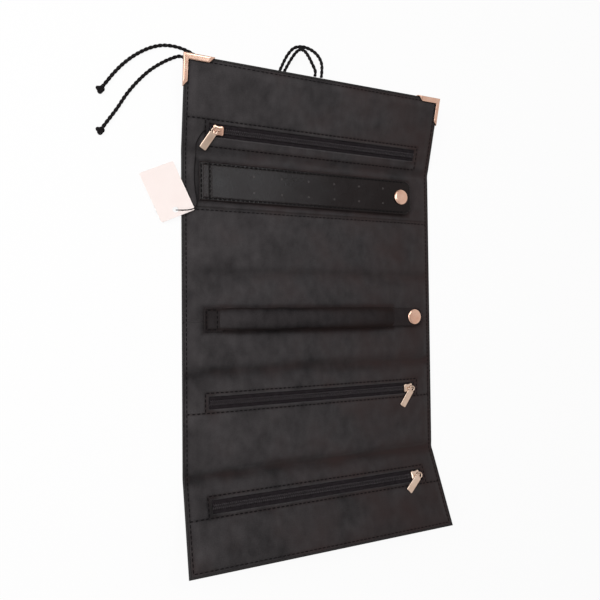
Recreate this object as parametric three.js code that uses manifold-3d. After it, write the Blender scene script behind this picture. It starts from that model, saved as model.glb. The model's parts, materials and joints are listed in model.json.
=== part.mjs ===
// A jewelry roll lying open. Five padded panels fold on four creases and carry three zip pockets, a
// snapped earring flap, a snapped ring bar, two corner caps, a tie cord and a bare swing tag.
// X runs across the roll, Y along it towards the top flap, Z up. Millimetres and degrees.
import * as THREE from "three";
import { mergeVertices } from "three/addons/utils/BufferGeometryUtils.js";
import Module from "manifold-3d";

const wasm = await Module();
wasm.setup();

// Panels, from the top flap down
const ROLL_WIDTH = 210;
const TOP_FLAP_LENGTH = 63;
const EARRING_PANEL_LENGTH = 88;
const RING_PANEL_LENGTH = 71;
const POCKET_PANEL_LENGTH = 74;
const END_FLAP_LENGTH = 63;
const TOP_FLAP_RISE = 16;
const END_FLAP_RISE = 25;

// Layers of a panel, from the outside in, and the gaps between them
const COVER_THICKNESS = 1.0;
const BOARD_THICKNESS = 0.8;
const POCKET_SHEET_THICKNESS = 0.3;
const TAPE_THICKNESS = 0.4;
const LINING_THICKNESS = 0.8;
const LAYER_GAP = 0.2;
const CLEARANCE = 0.3;

// Sewn edge: a flat border, a shoulder up to the padded middle and a turned lip outside
const EDGE_FILLING = 1.2;
const BORDER_WIDTH = 6;
const SHOULDER_RUN = 2;
const LIP_THICKNESS = 0.8;

// Creases: the fold line lies inside the cover, and the layers above it stand back
const AXIS_ABOVE_COVER = 1.0;
const TIGHTEST_FOLD = 115;
const CREASE_GAP = 0.3;

// Zips: each lies a distance from its panel's inner crease, in a window that stands in from both sides
const TOP_ZIP_FROM_CREASE = 15.5;
const POCKET_ZIP_FROM_CREASE = 22;
const END_ZIP_FROM_CREASE = 21.3;
const ZIP_WINDOW_INSET = 18.5;
const ZIP_WINDOW_WIDTH = 9;
const ZIP_TAPE_OVERLAP = 6;
const ZIP_TAPE_WIDTH = 10;
const COIL_WIDTH = 1.4;
const COIL_HEIGHT = 1.4;
const COIL_CHAMFER = 0.4;
const POCKET_SHEET_INSET = 3;

// Zip sliders and pulls
const SLIDER_LENGTH = 9.5;
const SLIDER_WIDTH = 7.5;
const SLIDER_CORNER = 2;
const SLIDER_PLATE = 1.0;
const SLIDER_BASE_LENGTH = 8;
const SLIDER_BASE_WIDTH = 7;
const SLIDER_BASE = 0.5;
const SLIDER_WEB = 0.5;
const SLIDER_END_GAP = 0.5;
const BAIL_SPAN = 4.4;
const BAIL_POST = 1.1;
const BAIL_BAR = 1.0;
const PULL_LENGTH = 16.5;
const PULL_WIDTH = 6;
const PULL_NECK_WIDTH = 3.2;
const PULL_NECK_END = 5;
const PULL_CORNER = 1.2;
const PULL_THICKNESS = 1.0;
const TOP_PULL_LEAN = 34;
const POCKET_PULL_LEAN = 23;
const END_PULL_LEAN = 34;
const PULL_EYE_WALL = 0.6;

// Snap fasteners
const SNAP_CAP_RADIUS = 6.25;
const SNAP_CAP_RIM = 0.5;
const SNAP_CAP_HEIGHT = 1.3;
const SNAP_CAP_STEPS = 3;
const SNAP_POST_RADIUS = 1.0;
const SNAP_SOCKET_RADIUS = 5;
const SNAP_SOCKET_ROOF = 0.2;
const SNAP_BASE_RADIUS = 4.5;
const SNAP_BASE_HEIGHT = 0.5;
const SNAP_PIN_RADIUS = 2.2;
const SNAP_PIN_HEIGHT = 1.6;

// Earring flap: its middle lies below the top flap's crease, and its ends stand in from the sides
const EARRING_FLAP_FROM_CREASE = 22.1;
const EARRING_SEAM_BELOW_FLAP = 4.7;
const EARRING_FLAP_WIDTH = 28;
const EARRING_FLAP_THICKNESS = 1.6;
const EARRING_ANCHOR_INSET = 12;
const EARRING_ANCHOR_LENGTH = 8.4;
const EARRING_FLAP_END_INSET = 22.5;
const EARRING_FLAP_CORNER = 7;
const EARRING_SNAP_FROM_END = 9.5;
const EARRING_HOLE_RADIUS = 0.7;
const EARRING_HOLE_COLUMNS = 6;
const EARRING_HOLE_FROM_HINGE = 31.75;
const EARRING_HOLE_FROM_END = 26.2;
const EARRING_HOLE_ROWS_APART = 12;

// Ring bar: it lies a little above its panel's middle, and its ends stand in from the sides
const RING_BAR_ABOVE_MIDDLE = 2;
const RING_BAR_WIDTH = 16.5;
const RING_BAR_END_WIDTH = 15;
const RING_BAR_HEIGHT = 13;
const RING_BAR_TAPER = 13;
const RING_BAR_END_INSET = 39;
const RING_BAR_END_SECTIONS = 7;
const RING_STRAP_THICKNESS = 1.6;
const RING_ANCHOR_INSET = 14.7;
const RING_ANCHOR_LENGTH = 11.2;
const RING_ANCHOR_WIDTH = 17.5;
const RING_TAB_END_INSET = 13;
const RING_TAB_WIDTH = 15;
const RING_TAB_CORNER = 4;
const RING_SNAP_FROM_END = 7.5;
const RING_BAR_ROUNDNESS = 2.4;

// Corner caps
const CAP_ARM = 21.5;
const CAP_FLANGE = 4.5;
const CAP_SHEET = 0.6;

// Tie cord: two strands sewn into the flap's edge. Points are x, y past that edge and z.
const CORD_DIAMETER = 3;
const CORD_SIDES = 8;
const CORD_STEPS = 38;
const CORD_STRAIGHT = 4;
const KNOT_RADIUS = 3.2;
const KNOT_SIDES = 12;
const KNOT_RINGS = 8;
const LOWER_STRAND_X = -8;
const UPPER_STRAND_X = -2.7;
const LOWER_STRAND = [
  [-10.6, 9.7, 19.6], [-12.6, 15.6, 17.6], [-14.3, 20.6, 14.5], [-16.2, 23.2, 11], [-18.1, 22.7, 7.5],
  [-20.2, 19.9, 4.5], [-22.8, 15.4, 2.5], [-25.4, 10.3, 1.7], [-28.5, 4, 1.6], [-33.5, -4, 1.6],
  [-41, -10.5, 1.6], [-50, -14.8, 1.6], [-61, -16.3, 1.6], [-72, -14.5, 1.6], [-83, -8.5, 1.6],
  [-92, -0.8, 1.6], [-98.5, 4, 1.6], [-105.3, 6, 1.6], [-112.2, 2.9, 1.6], [-118.9, -1.6, 1.6],
  [-126.7, -8.2, 1.6], [-134.4, -16.9, 1.6], [-141.3, -26.5, 1.6], [-148.2, -38.4, 1.6],
  [-154, -47.4, 1.6], [-156.5, -51.3, 1.6],
];
const UPPER_STRAND = [
  [-2.6, 9.6, 20], [-3.7, 15.1, 18.4], [-6.6, 20.4, 15.8], [-10.6, 24.2, 12.7], [-15, 26.4, 9.4],
  [-19.6, 26, 6.6], [-23.4, 22.2, 3.8], [-26.4, 16.6, 2.1], [-29.4, 10, 1.6], [-33, 3.5, 1.6],
  [-39.5, -3.5, 1.6], [-49, -8.5, 1.6], [-60, -10.5, 1.6], [-71, -8.5, 1.6], [-81, -2.5, 1.6],
  [-89, 4.5, 1.6], [-97.2, 9.7, 1.6], [-104.1, 11.8, 1.6], [-111, 12.4, 1.6], [-118.3, 11.4, 1.6],
  [-125.5, 8.5, 1.6], [-132, 4.4, 1.6], [-138.5, -0.9, 1.6], [-144.9, -7.5, 1.6], [-150.1, -14.1, 1.6],
  [-153.8, -19.5, 1.6], [-156.4, -23.4, 1.6],
];

// Swing tag: it leans on the left edge with its far corner low. String points are x in from that edge,
// y past the top flap's crease and z above the lining.
const TAG_WIDTH = 25;
const TAG_LENGTH = 37;
const TAG_THICKNESS = 0.5;
const TAG_CORNER = 0.8;
const TAG_HOLE_RADIUS = 2;
const TAG_HOLE_FROM_END = 5;
const TAG_PAST_EDGE = 9.8;
const TAG_BELOW_CREASE = 31.4;
const TAG_TURN = 24;
const STRING_DIAMETER = 1;
const STRING_STEPS = 16;
const STRING_ON_FLAP = [
  [16.6, 15.5, 0.8], [14.4, 13.8, 0.8], [12.2, 10.5, 0.8], [10.4, 6.8, 0.8], [9.8, 5, 0.8],
];
const STRING_ON_PANEL = [
  [9.6, -5, 0.8], [8.9, -11, 0.8], [8.6, -18, 0.8], [8.8, -25, 0.8], [9.5, -31, 0.8],
  [10.3, -36, 1.1], [10.1, -39.4, 1.7], [8.5, -42.1, 1.9], [5.5, -43.4, 1.5], [1, -44, 0.8],
  [-2.6, -44.1, 0.2], [-4.6, -44.1, -0.7],
];

// Fineness of round shapes, and how near two corners are when they are one
const ARC_STEPS = 5;
const ROUND_STEPS = 24;
const SAME_CORNER = 1e-4;

// Heights of the layers above a panel's outer face
const boardLow = COVER_THICKNESS + LAYER_GAP;
const boardHigh = boardLow + BOARD_THICKNESS;
const pocketSheetLow = boardHigh + LAYER_GAP;
const pocketSheetHigh = pocketSheetLow + POCKET_SHEET_THICKNESS;
const sliderBaseLow = pocketSheetHigh + CLEARANCE;
const sliderBaseHigh = sliderBaseLow + SLIDER_BASE;
const tapeLow = sliderBaseHigh + CLEARANCE;
const tapeHigh = tapeLow + TAPE_THICKNESS;
const coilHigh = tapeHigh + COIL_HEIGHT;
const liningLow = tapeHigh + LAYER_GAP;
const liningHigh = liningLow + LINING_THICKNESS;
const ledgeHigh = COVER_THICKNESS + EDGE_FILLING;
const edgeHigh = ledgeHigh + LAYER_GAP + LINING_THICKNESS;
const sliderHigh = coilHigh + CLEARANCE + SLIDER_PLATE;

// Places that follow from the layers
const half = ROLL_WIDTH / 2;
const foldAxis = COVER_THICKNESS + AXIS_ABOVE_COVER;
const radians = THREE.MathUtils.degToRad;
const creaseSetback = (liningHigh - foldAxis) * Math.tan(radians(TIGHTEST_FOLD / 2)) + CLEARANCE;
const paddedInset = BORDER_WIDTH + SHOULDER_RUN;
const snapHollow = SNAP_PIN_HEIGHT + CLEARANCE - LAYER_GAP;
const snapSocketHeight = snapHollow + SNAP_SOCKET_ROOF;
const snapLift = 3 * LAYER_GAP + SNAP_BASE_HEIGHT + snapSocketHeight;
const strapLow = liningHigh + LAYER_GAP;
const zipWindowLength = ROLL_WIDTH - 2 * ZIP_WINDOW_INSET;
const earringFlapPlace = EARRING_PANEL_LENGTH - EARRING_FLAP_FROM_CREASE;
const earringSeamPlace = earringFlapPlace - EARRING_FLAP_WIDTH / 2 - EARRING_SEAM_BELOW_FLAP;

function finish(color, roughness, metalness = 0) {
  return new THREE.MeshStandardMaterial({ color, roughness, metalness });
}
const COVER = finish(0x242225, 0.5);
const BOARD = finish(0x8a7d6c, 0.9);
const POCKET = finish(0x2a2829, 0.9);
const LINING = finish(0x3a3636, 0.95);
const LEATHER = finish(0x2e2c31, 0.4);
const TAPE = finish(0x292629, 0.85);
const METAL = finish(0xc8a590, 0.25, 1);
const CORD = finish(0x1d1b1d, 0.8);
const CARD = finish(0xfaf0ec, 0.8);

// Solids

function block(xa, xb, ya, yb, za, zb) {
  const box = new THREE.BoxGeometry(Math.abs(xb - xa), Math.abs(yb - ya), Math.abs(zb - za));
  return box.translate((xa + xb) / 2, (ya + yb) / 2, (za + zb) / 2);
}

function slab(outline, low, high) {
  const made = new THREE.ExtrudeGeometry(outline, {
    depth: high - low, bevelEnabled: false, curveSegments: ARC_STEPS,
  });
  return made.translate(0, 0, low);
}

// A profile of y and z carried along X.
function alongX(outline, xa, xb) {
  const made = slab(outline, xa, xb);
  const turn = new THREE.Matrix4().makeBasis(
    new THREE.Vector3(0, 1, 0), new THREE.Vector3(0, 0, 1), new THREE.Vector3(1, 0, 0),
  );
  return made.applyMatrix4(turn);
}

const outlineOf = (points) => new THREE.Shape(points.map(([x, y]) => new THREE.Vector2(x, y)));

// A rectangle whose right-hand or all corners are round.
function roundedRectangle(xa, xb, ya, yb, leftRadius, rightRadius) {
  const shape = new THREE.Shape();
  shape.moveTo(xa + leftRadius, ya);
  shape.lineTo(xb - rightRadius, ya);
  shape.absarc(xb - rightRadius, ya + rightRadius, rightRadius, -Math.PI / 2, 0, false);
  shape.lineTo(xb, yb - rightRadius);
  shape.absarc(xb - rightRadius, yb - rightRadius, rightRadius, 0, Math.PI / 2, false);
  shape.lineTo(xa + leftRadius, yb);
  if (leftRadius > 0) {
    shape.absarc(xa + leftRadius, yb - leftRadius, leftRadius, Math.PI / 2, Math.PI, false);
    shape.lineTo(xa, ya + leftRadius);
    shape.absarc(xa + leftRadius, ya + leftRadius, leftRadius, Math.PI, 1.5 * Math.PI, false);
  }
  return shape;
}

function roundHole(x, y, radius, sides) {
  const points = [];
  for (let k = 0; k < sides; k++) {
    const angle = (-2 * Math.PI * k) / sides;
    points.push(new THREE.Vector2(x + radius * Math.cos(angle), y + radius * Math.sin(angle)));
  }
  return new THREE.Path(points);
}

// A profile of radius and height turned about Z.
function turned(profile) {
  const points = profile.map(([r, z]) => new THREE.Vector2(r, z));
  return new THREE.LatheGeometry(points, ROUND_STEPS).rotateX(Math.PI / 2);
}

function solidOf(geometry) {
  const bare = geometry.index ? geometry.toNonIndexed() : geometry.clone();
  bare.deleteAttribute("normal");
  bare.deleteAttribute("uv");
  const merged = mergeVertices(bare, SAME_CORNER);
  return new wasm.Manifold(new wasm.Mesh({
    numProp: 3,
    vertProperties: new Float32Array(merged.attributes.position.array),
    triVerts: new Uint32Array(merged.index.array),
  }));
}

function geometryOf(solid) {
  const { vertProperties, triVerts } = solid.getMesh();
  const made = new THREE.BufferGeometry();
  made.setAttribute("position", new THREE.BufferAttribute(vertProperties, 3));
  made.setIndex(new THREE.BufferAttribute(triVerts, 1));
  return made;
}

const joined = (...pieces) => geometryOf(pieces.map(solidOf).reduce((a, b) => a.add(b)));
const cut = (piece, tool) => geometryOf(solidOf(piece).subtract(solidOf(tool)));

function closedSurface(corners) {
  const made = new THREE.BufferGeometry();
  made.setAttribute("position", new THREE.Float32BufferAttribute(corners, 3));
  return made;
}

// Grid lines in rising order, each only once.
const gridLines = (places) => [...new Set(places)].sort((a, b) => a - b);

// A sheet on a grid of cells. Its top follows a height, its underside lies one thickness lower, and a
// wall closes each edge of a cell that has no neighbour there.
function gridSheet(xs, ys, topAt, thickness, isFilled) {
  const has = (i, j) =>
    i >= 0 && j >= 0 && i < xs.length - 1 && j < ys.length - 1 &&
    isFilled((xs[i] + xs[i + 1]) / 2, (ys[j] + ys[j + 1]) / 2);
  const top = (i, j) => [xs[i], ys[j], topAt(xs[i], ys[j])];
  const low = (i, j) => [xs[i], ys[j], topAt(xs[i], ys[j]) - thickness];
  const corners = [];
  const quad = (a, b, c, d) => corners.push(...a, ...b, ...c, ...a, ...c, ...d);
  for (let i = 0; i < xs.length - 1; i++) {
    for (let j = 0; j < ys.length - 1; j++) {
      if (!has(i, j)) continue;
      quad(top(i, j), top(i + 1, j), top(i + 1, j + 1), top(i, j + 1));
      quad(low(i, j), low(i, j + 1), low(i + 1, j + 1), low(i + 1, j));
      if (!has(i - 1, j)) quad(low(i, j), top(i, j), top(i, j + 1), low(i, j + 1));
      if (!has(i + 1, j)) quad(low(i + 1, j), low(i + 1, j + 1), top(i + 1, j + 1), top(i + 1, j));
      if (!has(i, j - 1)) quad(low(i, j), low(i + 1, j), top(i + 1, j), top(i, j));
      if (!has(i, j + 1)) quad(low(i, j + 1), top(i, j + 1), top(i + 1, j + 1), low(i + 1, j + 1));
    }
  }
  return closedSurface(corners);
}

// Flat-topped cells on a common base. Walls are split at every height in use, so that their edges meet.
function terraces(xs, ys, heightAt) {
  const height = (i, j) =>
    i < 0 || j < 0 || i > xs.length - 2 || j > ys.length - 2
      ? 0
      : heightAt((xs[i] + xs[i + 1]) / 2, (ys[j] + ys[j + 1]) / 2);
  const cells = [];
  for (let i = 0; i < xs.length - 1; i++) {
    for (let j = 0; j < ys.length - 1; j++) cells.push([i, j]);
  }
  const levels = gridLines([0, ...cells.map(([i, j]) => height(i, j))]);
  const corners = [];
  const quad = (a, b, c, d) => corners.push(...a, ...b, ...c, ...a, ...c, ...d);
  const wall = ([xa, ya], [xb, yb], low, high) => {
    const rungs = levels.filter((level) => level >= low && level <= high);
    for (let k = 0; k < rungs.length - 1; k++) {
      quad([xa, ya, rungs[k]], [xb, yb, rungs[k]], [xb, yb, rungs[k + 1]], [xa, ya, rungs[k + 1]]);
    }
  };
  for (const [i, j] of cells) {
    const [xa, xb, ya, yb, top] = [xs[i], xs[i + 1], ys[j], ys[j + 1], height(i, j)];
    quad([xa, ya, top], [xb, ya, top], [xb, yb, top], [xa, yb, top]);
    quad([xa, ya, 0], [xa, yb, 0], [xb, yb, 0], [xb, ya, 0]);
    wall([xa, yb], [xa, ya], height(i - 1, j), top);
    wall([xb, ya], [xb, yb], height(i + 1, j), top);
    wall([xa, ya], [xb, ya], height(i, j - 1), top);
    wall([xb, yb], [xa, yb], height(i, j + 1), top);
  }
  return closedSurface(corners);
}

// Rings of equal counts of points, skinned one to the next and closed at both ends.
function loft(rings) {
  const count = rings[0].length;
  const corners = [];
  const face = (a, b, c) => corners.push(...a, ...b, ...c);
  for (let i = 0; i < rings.length - 1; i++) {
    for (let k = 0; k < count; k++) {
      const n = (k + 1) % count;
      face(rings[i][k], rings[i + 1][n], rings[i + 1][k]);
      face(rings[i][k], rings[i][n], rings[i + 1][n]);
    }
  }
  const last = rings[rings.length - 1];
  for (let k = 1; k < count - 1; k++) {
    face(rings[0][0], rings[0][k + 1], rings[0][k]);
    face(last[0], last[k], last[k + 1]);
  }
  return closedSurface(corners);
}

function tube(points, diameter, steps) {
  const path = new THREE.CatmullRomCurve3(points.map((p) => new THREE.Vector3(...p)), false, "centripetal");
  const section = [];
  for (let k = 0; k < CORD_SIDES; k++) {
    const angle = (2 * Math.PI * k) / CORD_SIDES;
    section.push([Math.cos(angle) * diameter / 2, Math.sin(angle) * diameter / 2]);
  }
  return new THREE.ExtrudeGeometry(outlineOf(section), { steps, extrudePath: path, bevelEnabled: false });
}

function add(group, name, geometry, material) {
  const mesh = new THREE.Mesh(geometry, material);
  mesh.name = name;
  group.add(mesh);
  return mesh;
}

// Panels. Each is drawn from its lower edge, y = 0, with its outer face at z = 0.

const topFlap = { name: "top_flap", length: TOP_FLAP_LENGTH, outerEnd: "top", zipped: true };
const earringPanel = { name: "earring_panel", length: EARRING_PANEL_LENGTH };
const ringPanel = { name: "ring_panel", length: RING_PANEL_LENGTH };
const pocketPanel = { name: "pocket_panel", length: POCKET_PANEL_LENGTH, zipped: true };
const endFlap = { name: "end_flap", length: END_FLAP_LENGTH, outerEnd: "bottom", zipped: true };

// The stretch of a panel that a layer covers, standing in from a free end or back from a crease.
function stretch(panel, endInset, setback) {
  const low = panel.outerEnd === "bottom" ? endInset : setback;
  const high = panel.length - (panel.outerEnd === "top" ? endInset : setback);
  return [low, high];
}

// The place up a panel that lies a distance in from its free end.
function fromOuterEnd(panel, distance) {
  return panel.outerEnd === "top" ? panel.length - distance : distance;
}

// How far a place lies from the nearest free edge of its panel.
function edgeDistance(panel, x, y) {
  const fromSide = half - Math.abs(x);
  return panel.outerEnd ? Math.min(fromSide, Math.abs(y - fromOuterEnd(panel, 0))) : fromSide;
}

// The outer cover: a sheet with a raised border for the lining to sit on and a turned lip outside it.
function coverSheet(panel) {
  const [sheetLow, sheetHigh] = stretch(panel, 0, CREASE_GAP / 2);
  const [wallLow, wallHigh] = stretch(panel, 0, creaseSetback);
  const steps = [0, LIP_THICKNESS, BORDER_WIDTH];
  const xs = steps.flatMap((step) => [step - half, half - step]);
  const ys = [sheetLow, wallLow, wallHigh, sheetHigh];
  if (panel.outerEnd) ys.push(...steps.map((step) => fromOuterEnd(panel, step)));
  const heightAt = (x, y) => {
    if (y < wallLow || y > wallHigh) return COVER_THICKNESS;
    const distance = edgeDistance(panel, x, y);
    if (distance < LIP_THICKNESS) return edgeHigh;
    return distance < BORDER_WIDTH ? ledgeHigh : COVER_THICKNESS;
  };
  return terraces(gridLines(xs), gridLines(ys), heightAt);
}

function innerBoard(panel) {
  const inset = paddedInset + LAYER_GAP;
  const [low, high] = stretch(panel, inset, creaseSetback);
  const top = panel.zipped ? boardHigh : liningLow - LAYER_GAP;
  return block(inset - half, half - inset, low, high, boardLow, top);
}

function pocketSheet(panel) {
  const inset = paddedInset + POCKET_SHEET_INSET;
  const [low, high] = stretch(panel, inset, creaseSetback);
  return block(inset - half, half - inset, low, high, pocketSheetLow, pocketSheetHigh);
}

// The lining between two places up a panel, with a window cut into it where a zip shows.
function liningSheet(panel, low, high, window) {
  const steps = [LIP_THICKNESS + LAYER_GAP, BORDER_WIDTH, paddedInset];
  const xs = steps.flatMap((step) => [step - half, half - step]);
  const ys = [low, high];
  const isBetween = (y) => y > low && y < high;
  if (panel.outerEnd) ys.push(...steps.map((step) => fromOuterEnd(panel, step)).filter(isBetween));
  if (window) {
    xs.push(window.left, window.right);
    ys.push(...[window.low, window.high].filter(isBetween));
  }
  const topAt = (x, y) => {
    const share = (edgeDistance(panel, x, y) - BORDER_WIDTH) / SHOULDER_RUN;
    return edgeHigh + THREE.MathUtils.clamp(share, 0, 1) * (liningHigh - edgeHigh);
  };
  const isOpen = (x, y) =>
    window && x > window.left && x < window.right && y > window.low && y < window.high;
  return gridSheet(gridLines(xs), gridLines(ys), topAt, LINING_THICKNESS, (x, y) => !isOpen(x, y));
}

// A lining in two pieces that meet at a seam. The window opens from the seam into one of them.
function seamedLining(group, panel, seam, window) {
  const [low, high] = stretch(panel, LIP_THICKNESS + LAYER_GAP, creaseSetback);
  const windowAbove = window && window.high > seam + CLEARANCE;
  const windowBelow = window && window.low < seam - CLEARANCE;
  const upper = liningSheet(panel, seam + CLEARANCE / 2, high, windowAbove ? window : undefined);
  const lower = liningSheet(panel, low, seam - CLEARANCE / 2, windowBelow ? window : undefined);
  add(group, `${panel.name}_lining_upper`, upper, LINING);
  add(group, `${panel.name}_lining_lower`, lower, LINING);
}

function panelShell(panel) {
  const group = new THREE.Group();
  add(group, `${panel.name}_cover`, coverSheet(panel), COVER);
  add(group, `${panel.name}_board`, innerBoard(panel), BOARD);
  if (panel.zipped) add(group, `${panel.name}_pocket_sheet`, pocketSheet(panel), POCKET);
  return group;
}

// Zips. A zip is drawn about its own centre line, with the panel's heights.

const coilGap = SLIDER_WEB + 2 * LAYER_GAP;

// Half of the tape, with its row of coil: side is +1 up the panel and -1 down it.
function zipTape(side) {
  const inner = (side * coilGap) / 2;
  const outer = inner + side * ZIP_TAPE_WIDTH;
  const coilOuter = inner + side * COIL_WIDTH;
  const chamfer = side * COIL_CHAMFER;
  const tapeReach = zipWindowLength / 2 + ZIP_TAPE_OVERLAP;
  const coilReach = zipWindowLength / 2 - CLEARANCE;
  const coil = [
    [inner, tapeLow], [coilOuter, tapeLow], [coilOuter, coilHigh - COIL_CHAMFER],
    [coilOuter - chamfer, coilHigh], [inner + chamfer, coilHigh], [inner, coilHigh - COIL_CHAMFER],
  ];
  return joined(
    block(-tapeReach, tapeReach, inner, outer, tapeLow, tapeHigh),
    alongX(outlineOf(side > 0 ? coil : coil.reverse()), -coilReach, coilReach),
  );
}

const eyeInner = BAIL_BAR * Math.SQRT1_2 + CLEARANCE;
const eyeOuter = eyeInner + PULL_EYE_WALL;
const bailHeight = sliderHigh + CLEARANCE + eyeOuter;

// The slider: a plate over the coil, a web between its rows, a base under the tape, and a bail on top.
function zipSlider() {
  const long = SLIDER_LENGTH / 2;
  const wide = SLIDER_WIDTH / 2;
  const plate = outlineOf([
    [SLIDER_CORNER - long, -wide], [long - SLIDER_CORNER, -wide], [long, SLIDER_CORNER - wide],
    [long, wide - SLIDER_CORNER], [long - SLIDER_CORNER, wide], [SLIDER_CORNER - long, wide],
    [-long, wide - SLIDER_CORNER], [-long, SLIDER_CORNER - wide],
  ]);
  const bail = BAIL_SPAN / 2;
  const bar = BAIL_BAR / 2;
  const postLow = sliderHigh - SLIDER_PLATE / 2;
  return joined(
    slab(plate, sliderHigh - SLIDER_PLATE, sliderHigh),
    block(-SLIDER_BASE_LENGTH / 2, SLIDER_BASE_LENGTH / 2, -SLIDER_WEB / 2, SLIDER_WEB / 2,
      sliderBaseLow, sliderHigh - SLIDER_PLATE / 2),
    block(-SLIDER_BASE_LENGTH / 2, SLIDER_BASE_LENGTH / 2, -SLIDER_BASE_WIDTH / 2, SLIDER_BASE_WIDTH / 2,
      sliderBaseLow, sliderBaseHigh),
    block(-bail - BAIL_POST, -bail, -bar, bar, postLow, bailHeight + bar),
    block(bail, bail + BAIL_POST, -bar, bar, postLow, bailHeight + bar),
    block(-bail - BAIL_POST, bail + BAIL_POST, -bar, bar, bailHeight - bar, bailHeight + bar),
  );
}

// The pull: an eye round the bail's bar and a flat tab that leans aside and slopes down to the lining.
// It is drawn about the middle of the bar.
function zipPull(lean) {
  const round = (radius) => new THREE.Shape().absarc(0, 0, radius, 0, 2 * Math.PI, false);
  const eyeReach = BAIL_SPAN / 2 - CLEARANCE;
  const tabStart = (eyeInner + eyeOuter) / 2;
  const tabLength = PULL_LENGTH - tabStart;
  const neck = PULL_NECK_WIDTH / 2;
  const wide = PULL_WIDTH / 2;
  const tab = slab(outlineOf([
    [-neck, 0], [-wide, -PULL_NECK_END], [-wide, PULL_CORNER - tabLength],
    [PULL_CORNER - wide, -tabLength], [wide - PULL_CORNER, -tabLength],
    [wide, PULL_CORNER - tabLength], [wide, -PULL_NECK_END], [neck, 0],
  ]), -PULL_THICKNESS / 2, PULL_THICKNESS / 2);
  const turn = radians(lean);
  const lowest = tabStart + tabLength * Math.cos(turn) + wide * Math.sin(turn);
  const drop = bailHeight - PULL_THICKNESS / 2 - liningHigh - CLEARANCE;
  tab.rotateZ(-turn);
  tab.translate(0, -tabStart, 0);
  tab.rotateX(Math.asin(drop / lowest));
  const pull = joined(alongX(round(eyeOuter), -eyeReach, eyeReach), tab);
  return cut(pull, alongX(round(eyeInner), -BAIL_SPAN, BAIL_SPAN));
}

// A whole zip at a place up a panel, closed with its slider at the left or the right end.
function zip(panelGroup, name, place, closedEnd, pullLean) {
  const line = new THREE.Group();
  line.position.y = place;
  add(line, `${name}_tape_upper`, zipTape(1), TAPE);
  add(line, `${name}_tape_lower`, zipTape(-1), TAPE);
  const slider = new THREE.Group();
  slider.position.x = closedEnd * (zipWindowLength / 2 - SLIDER_END_GAP - SLIDER_LENGTH / 2);
  add(slider, `${name}_slider`, zipSlider(), METAL);
  const pull = add(slider, `${name}_pull`, zipPull(pullLean), METAL);
  pull.position.z = bailHeight;
  line.add(slider);
  panelGroup.add(line);
}

const windowAt = (place) => ({
  left: -zipWindowLength / 2,
  right: zipWindowLength / 2,
  low: place - ZIP_WINDOW_WIDTH / 2,
  high: place + ZIP_WINDOW_WIDTH / 2,
});

// Snaps. Cap and socket are drawn from the strap's top and underside, the stud from the lining.

function snapCap(strapThickness) {
  const postEnd = -LAYER_GAP - strapThickness;
  const domed = (share) => [
    SNAP_CAP_RADIUS * Math.cos(share * Math.PI / 2),
    SNAP_CAP_RIM + (SNAP_CAP_HEIGHT - SNAP_CAP_RIM) * Math.sin(share * Math.PI / 2),
  ];
  const cap = [
    [0, postEnd], [SNAP_POST_RADIUS, postEnd], [SNAP_POST_RADIUS, 0], [SNAP_CAP_RADIUS, 0],
  ];
  for (let k = 0; k < SNAP_CAP_STEPS; k++) cap.push(domed(k / SNAP_CAP_STEPS));
  cap.push([0, SNAP_CAP_HEIGHT]);
  return turned(cap).translate(0, 0, LAYER_GAP);
}

function snapSocket() {
  const hollow = SNAP_PIN_RADIUS + CLEARANCE;
  const socket = [
    [hollow, 0], [SNAP_SOCKET_RADIUS, 0], [SNAP_SOCKET_RADIUS, snapSocketHeight],
    [0, snapSocketHeight], [0, snapHollow], [hollow, snapHollow], [hollow, 0],
  ];
  return turned(socket).translate(0, 0, -LAYER_GAP - snapSocketHeight);
}

function snapStud() {
  const top = SNAP_BASE_HEIGHT + SNAP_PIN_HEIGHT;
  const stud = [
    [0, 0], [SNAP_BASE_RADIUS, 0], [SNAP_BASE_RADIUS, SNAP_BASE_HEIGHT],
    [SNAP_PIN_RADIUS, SNAP_BASE_HEIGHT], [SNAP_PIN_RADIUS, top], [0, top],
  ];
  return turned(stud).translate(0, 0, LAYER_GAP);
}

const postHole = (x, y) => roundHole(x, y, SNAP_POST_RADIUS + CLEARANCE, 2 * ARC_STEPS);

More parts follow.
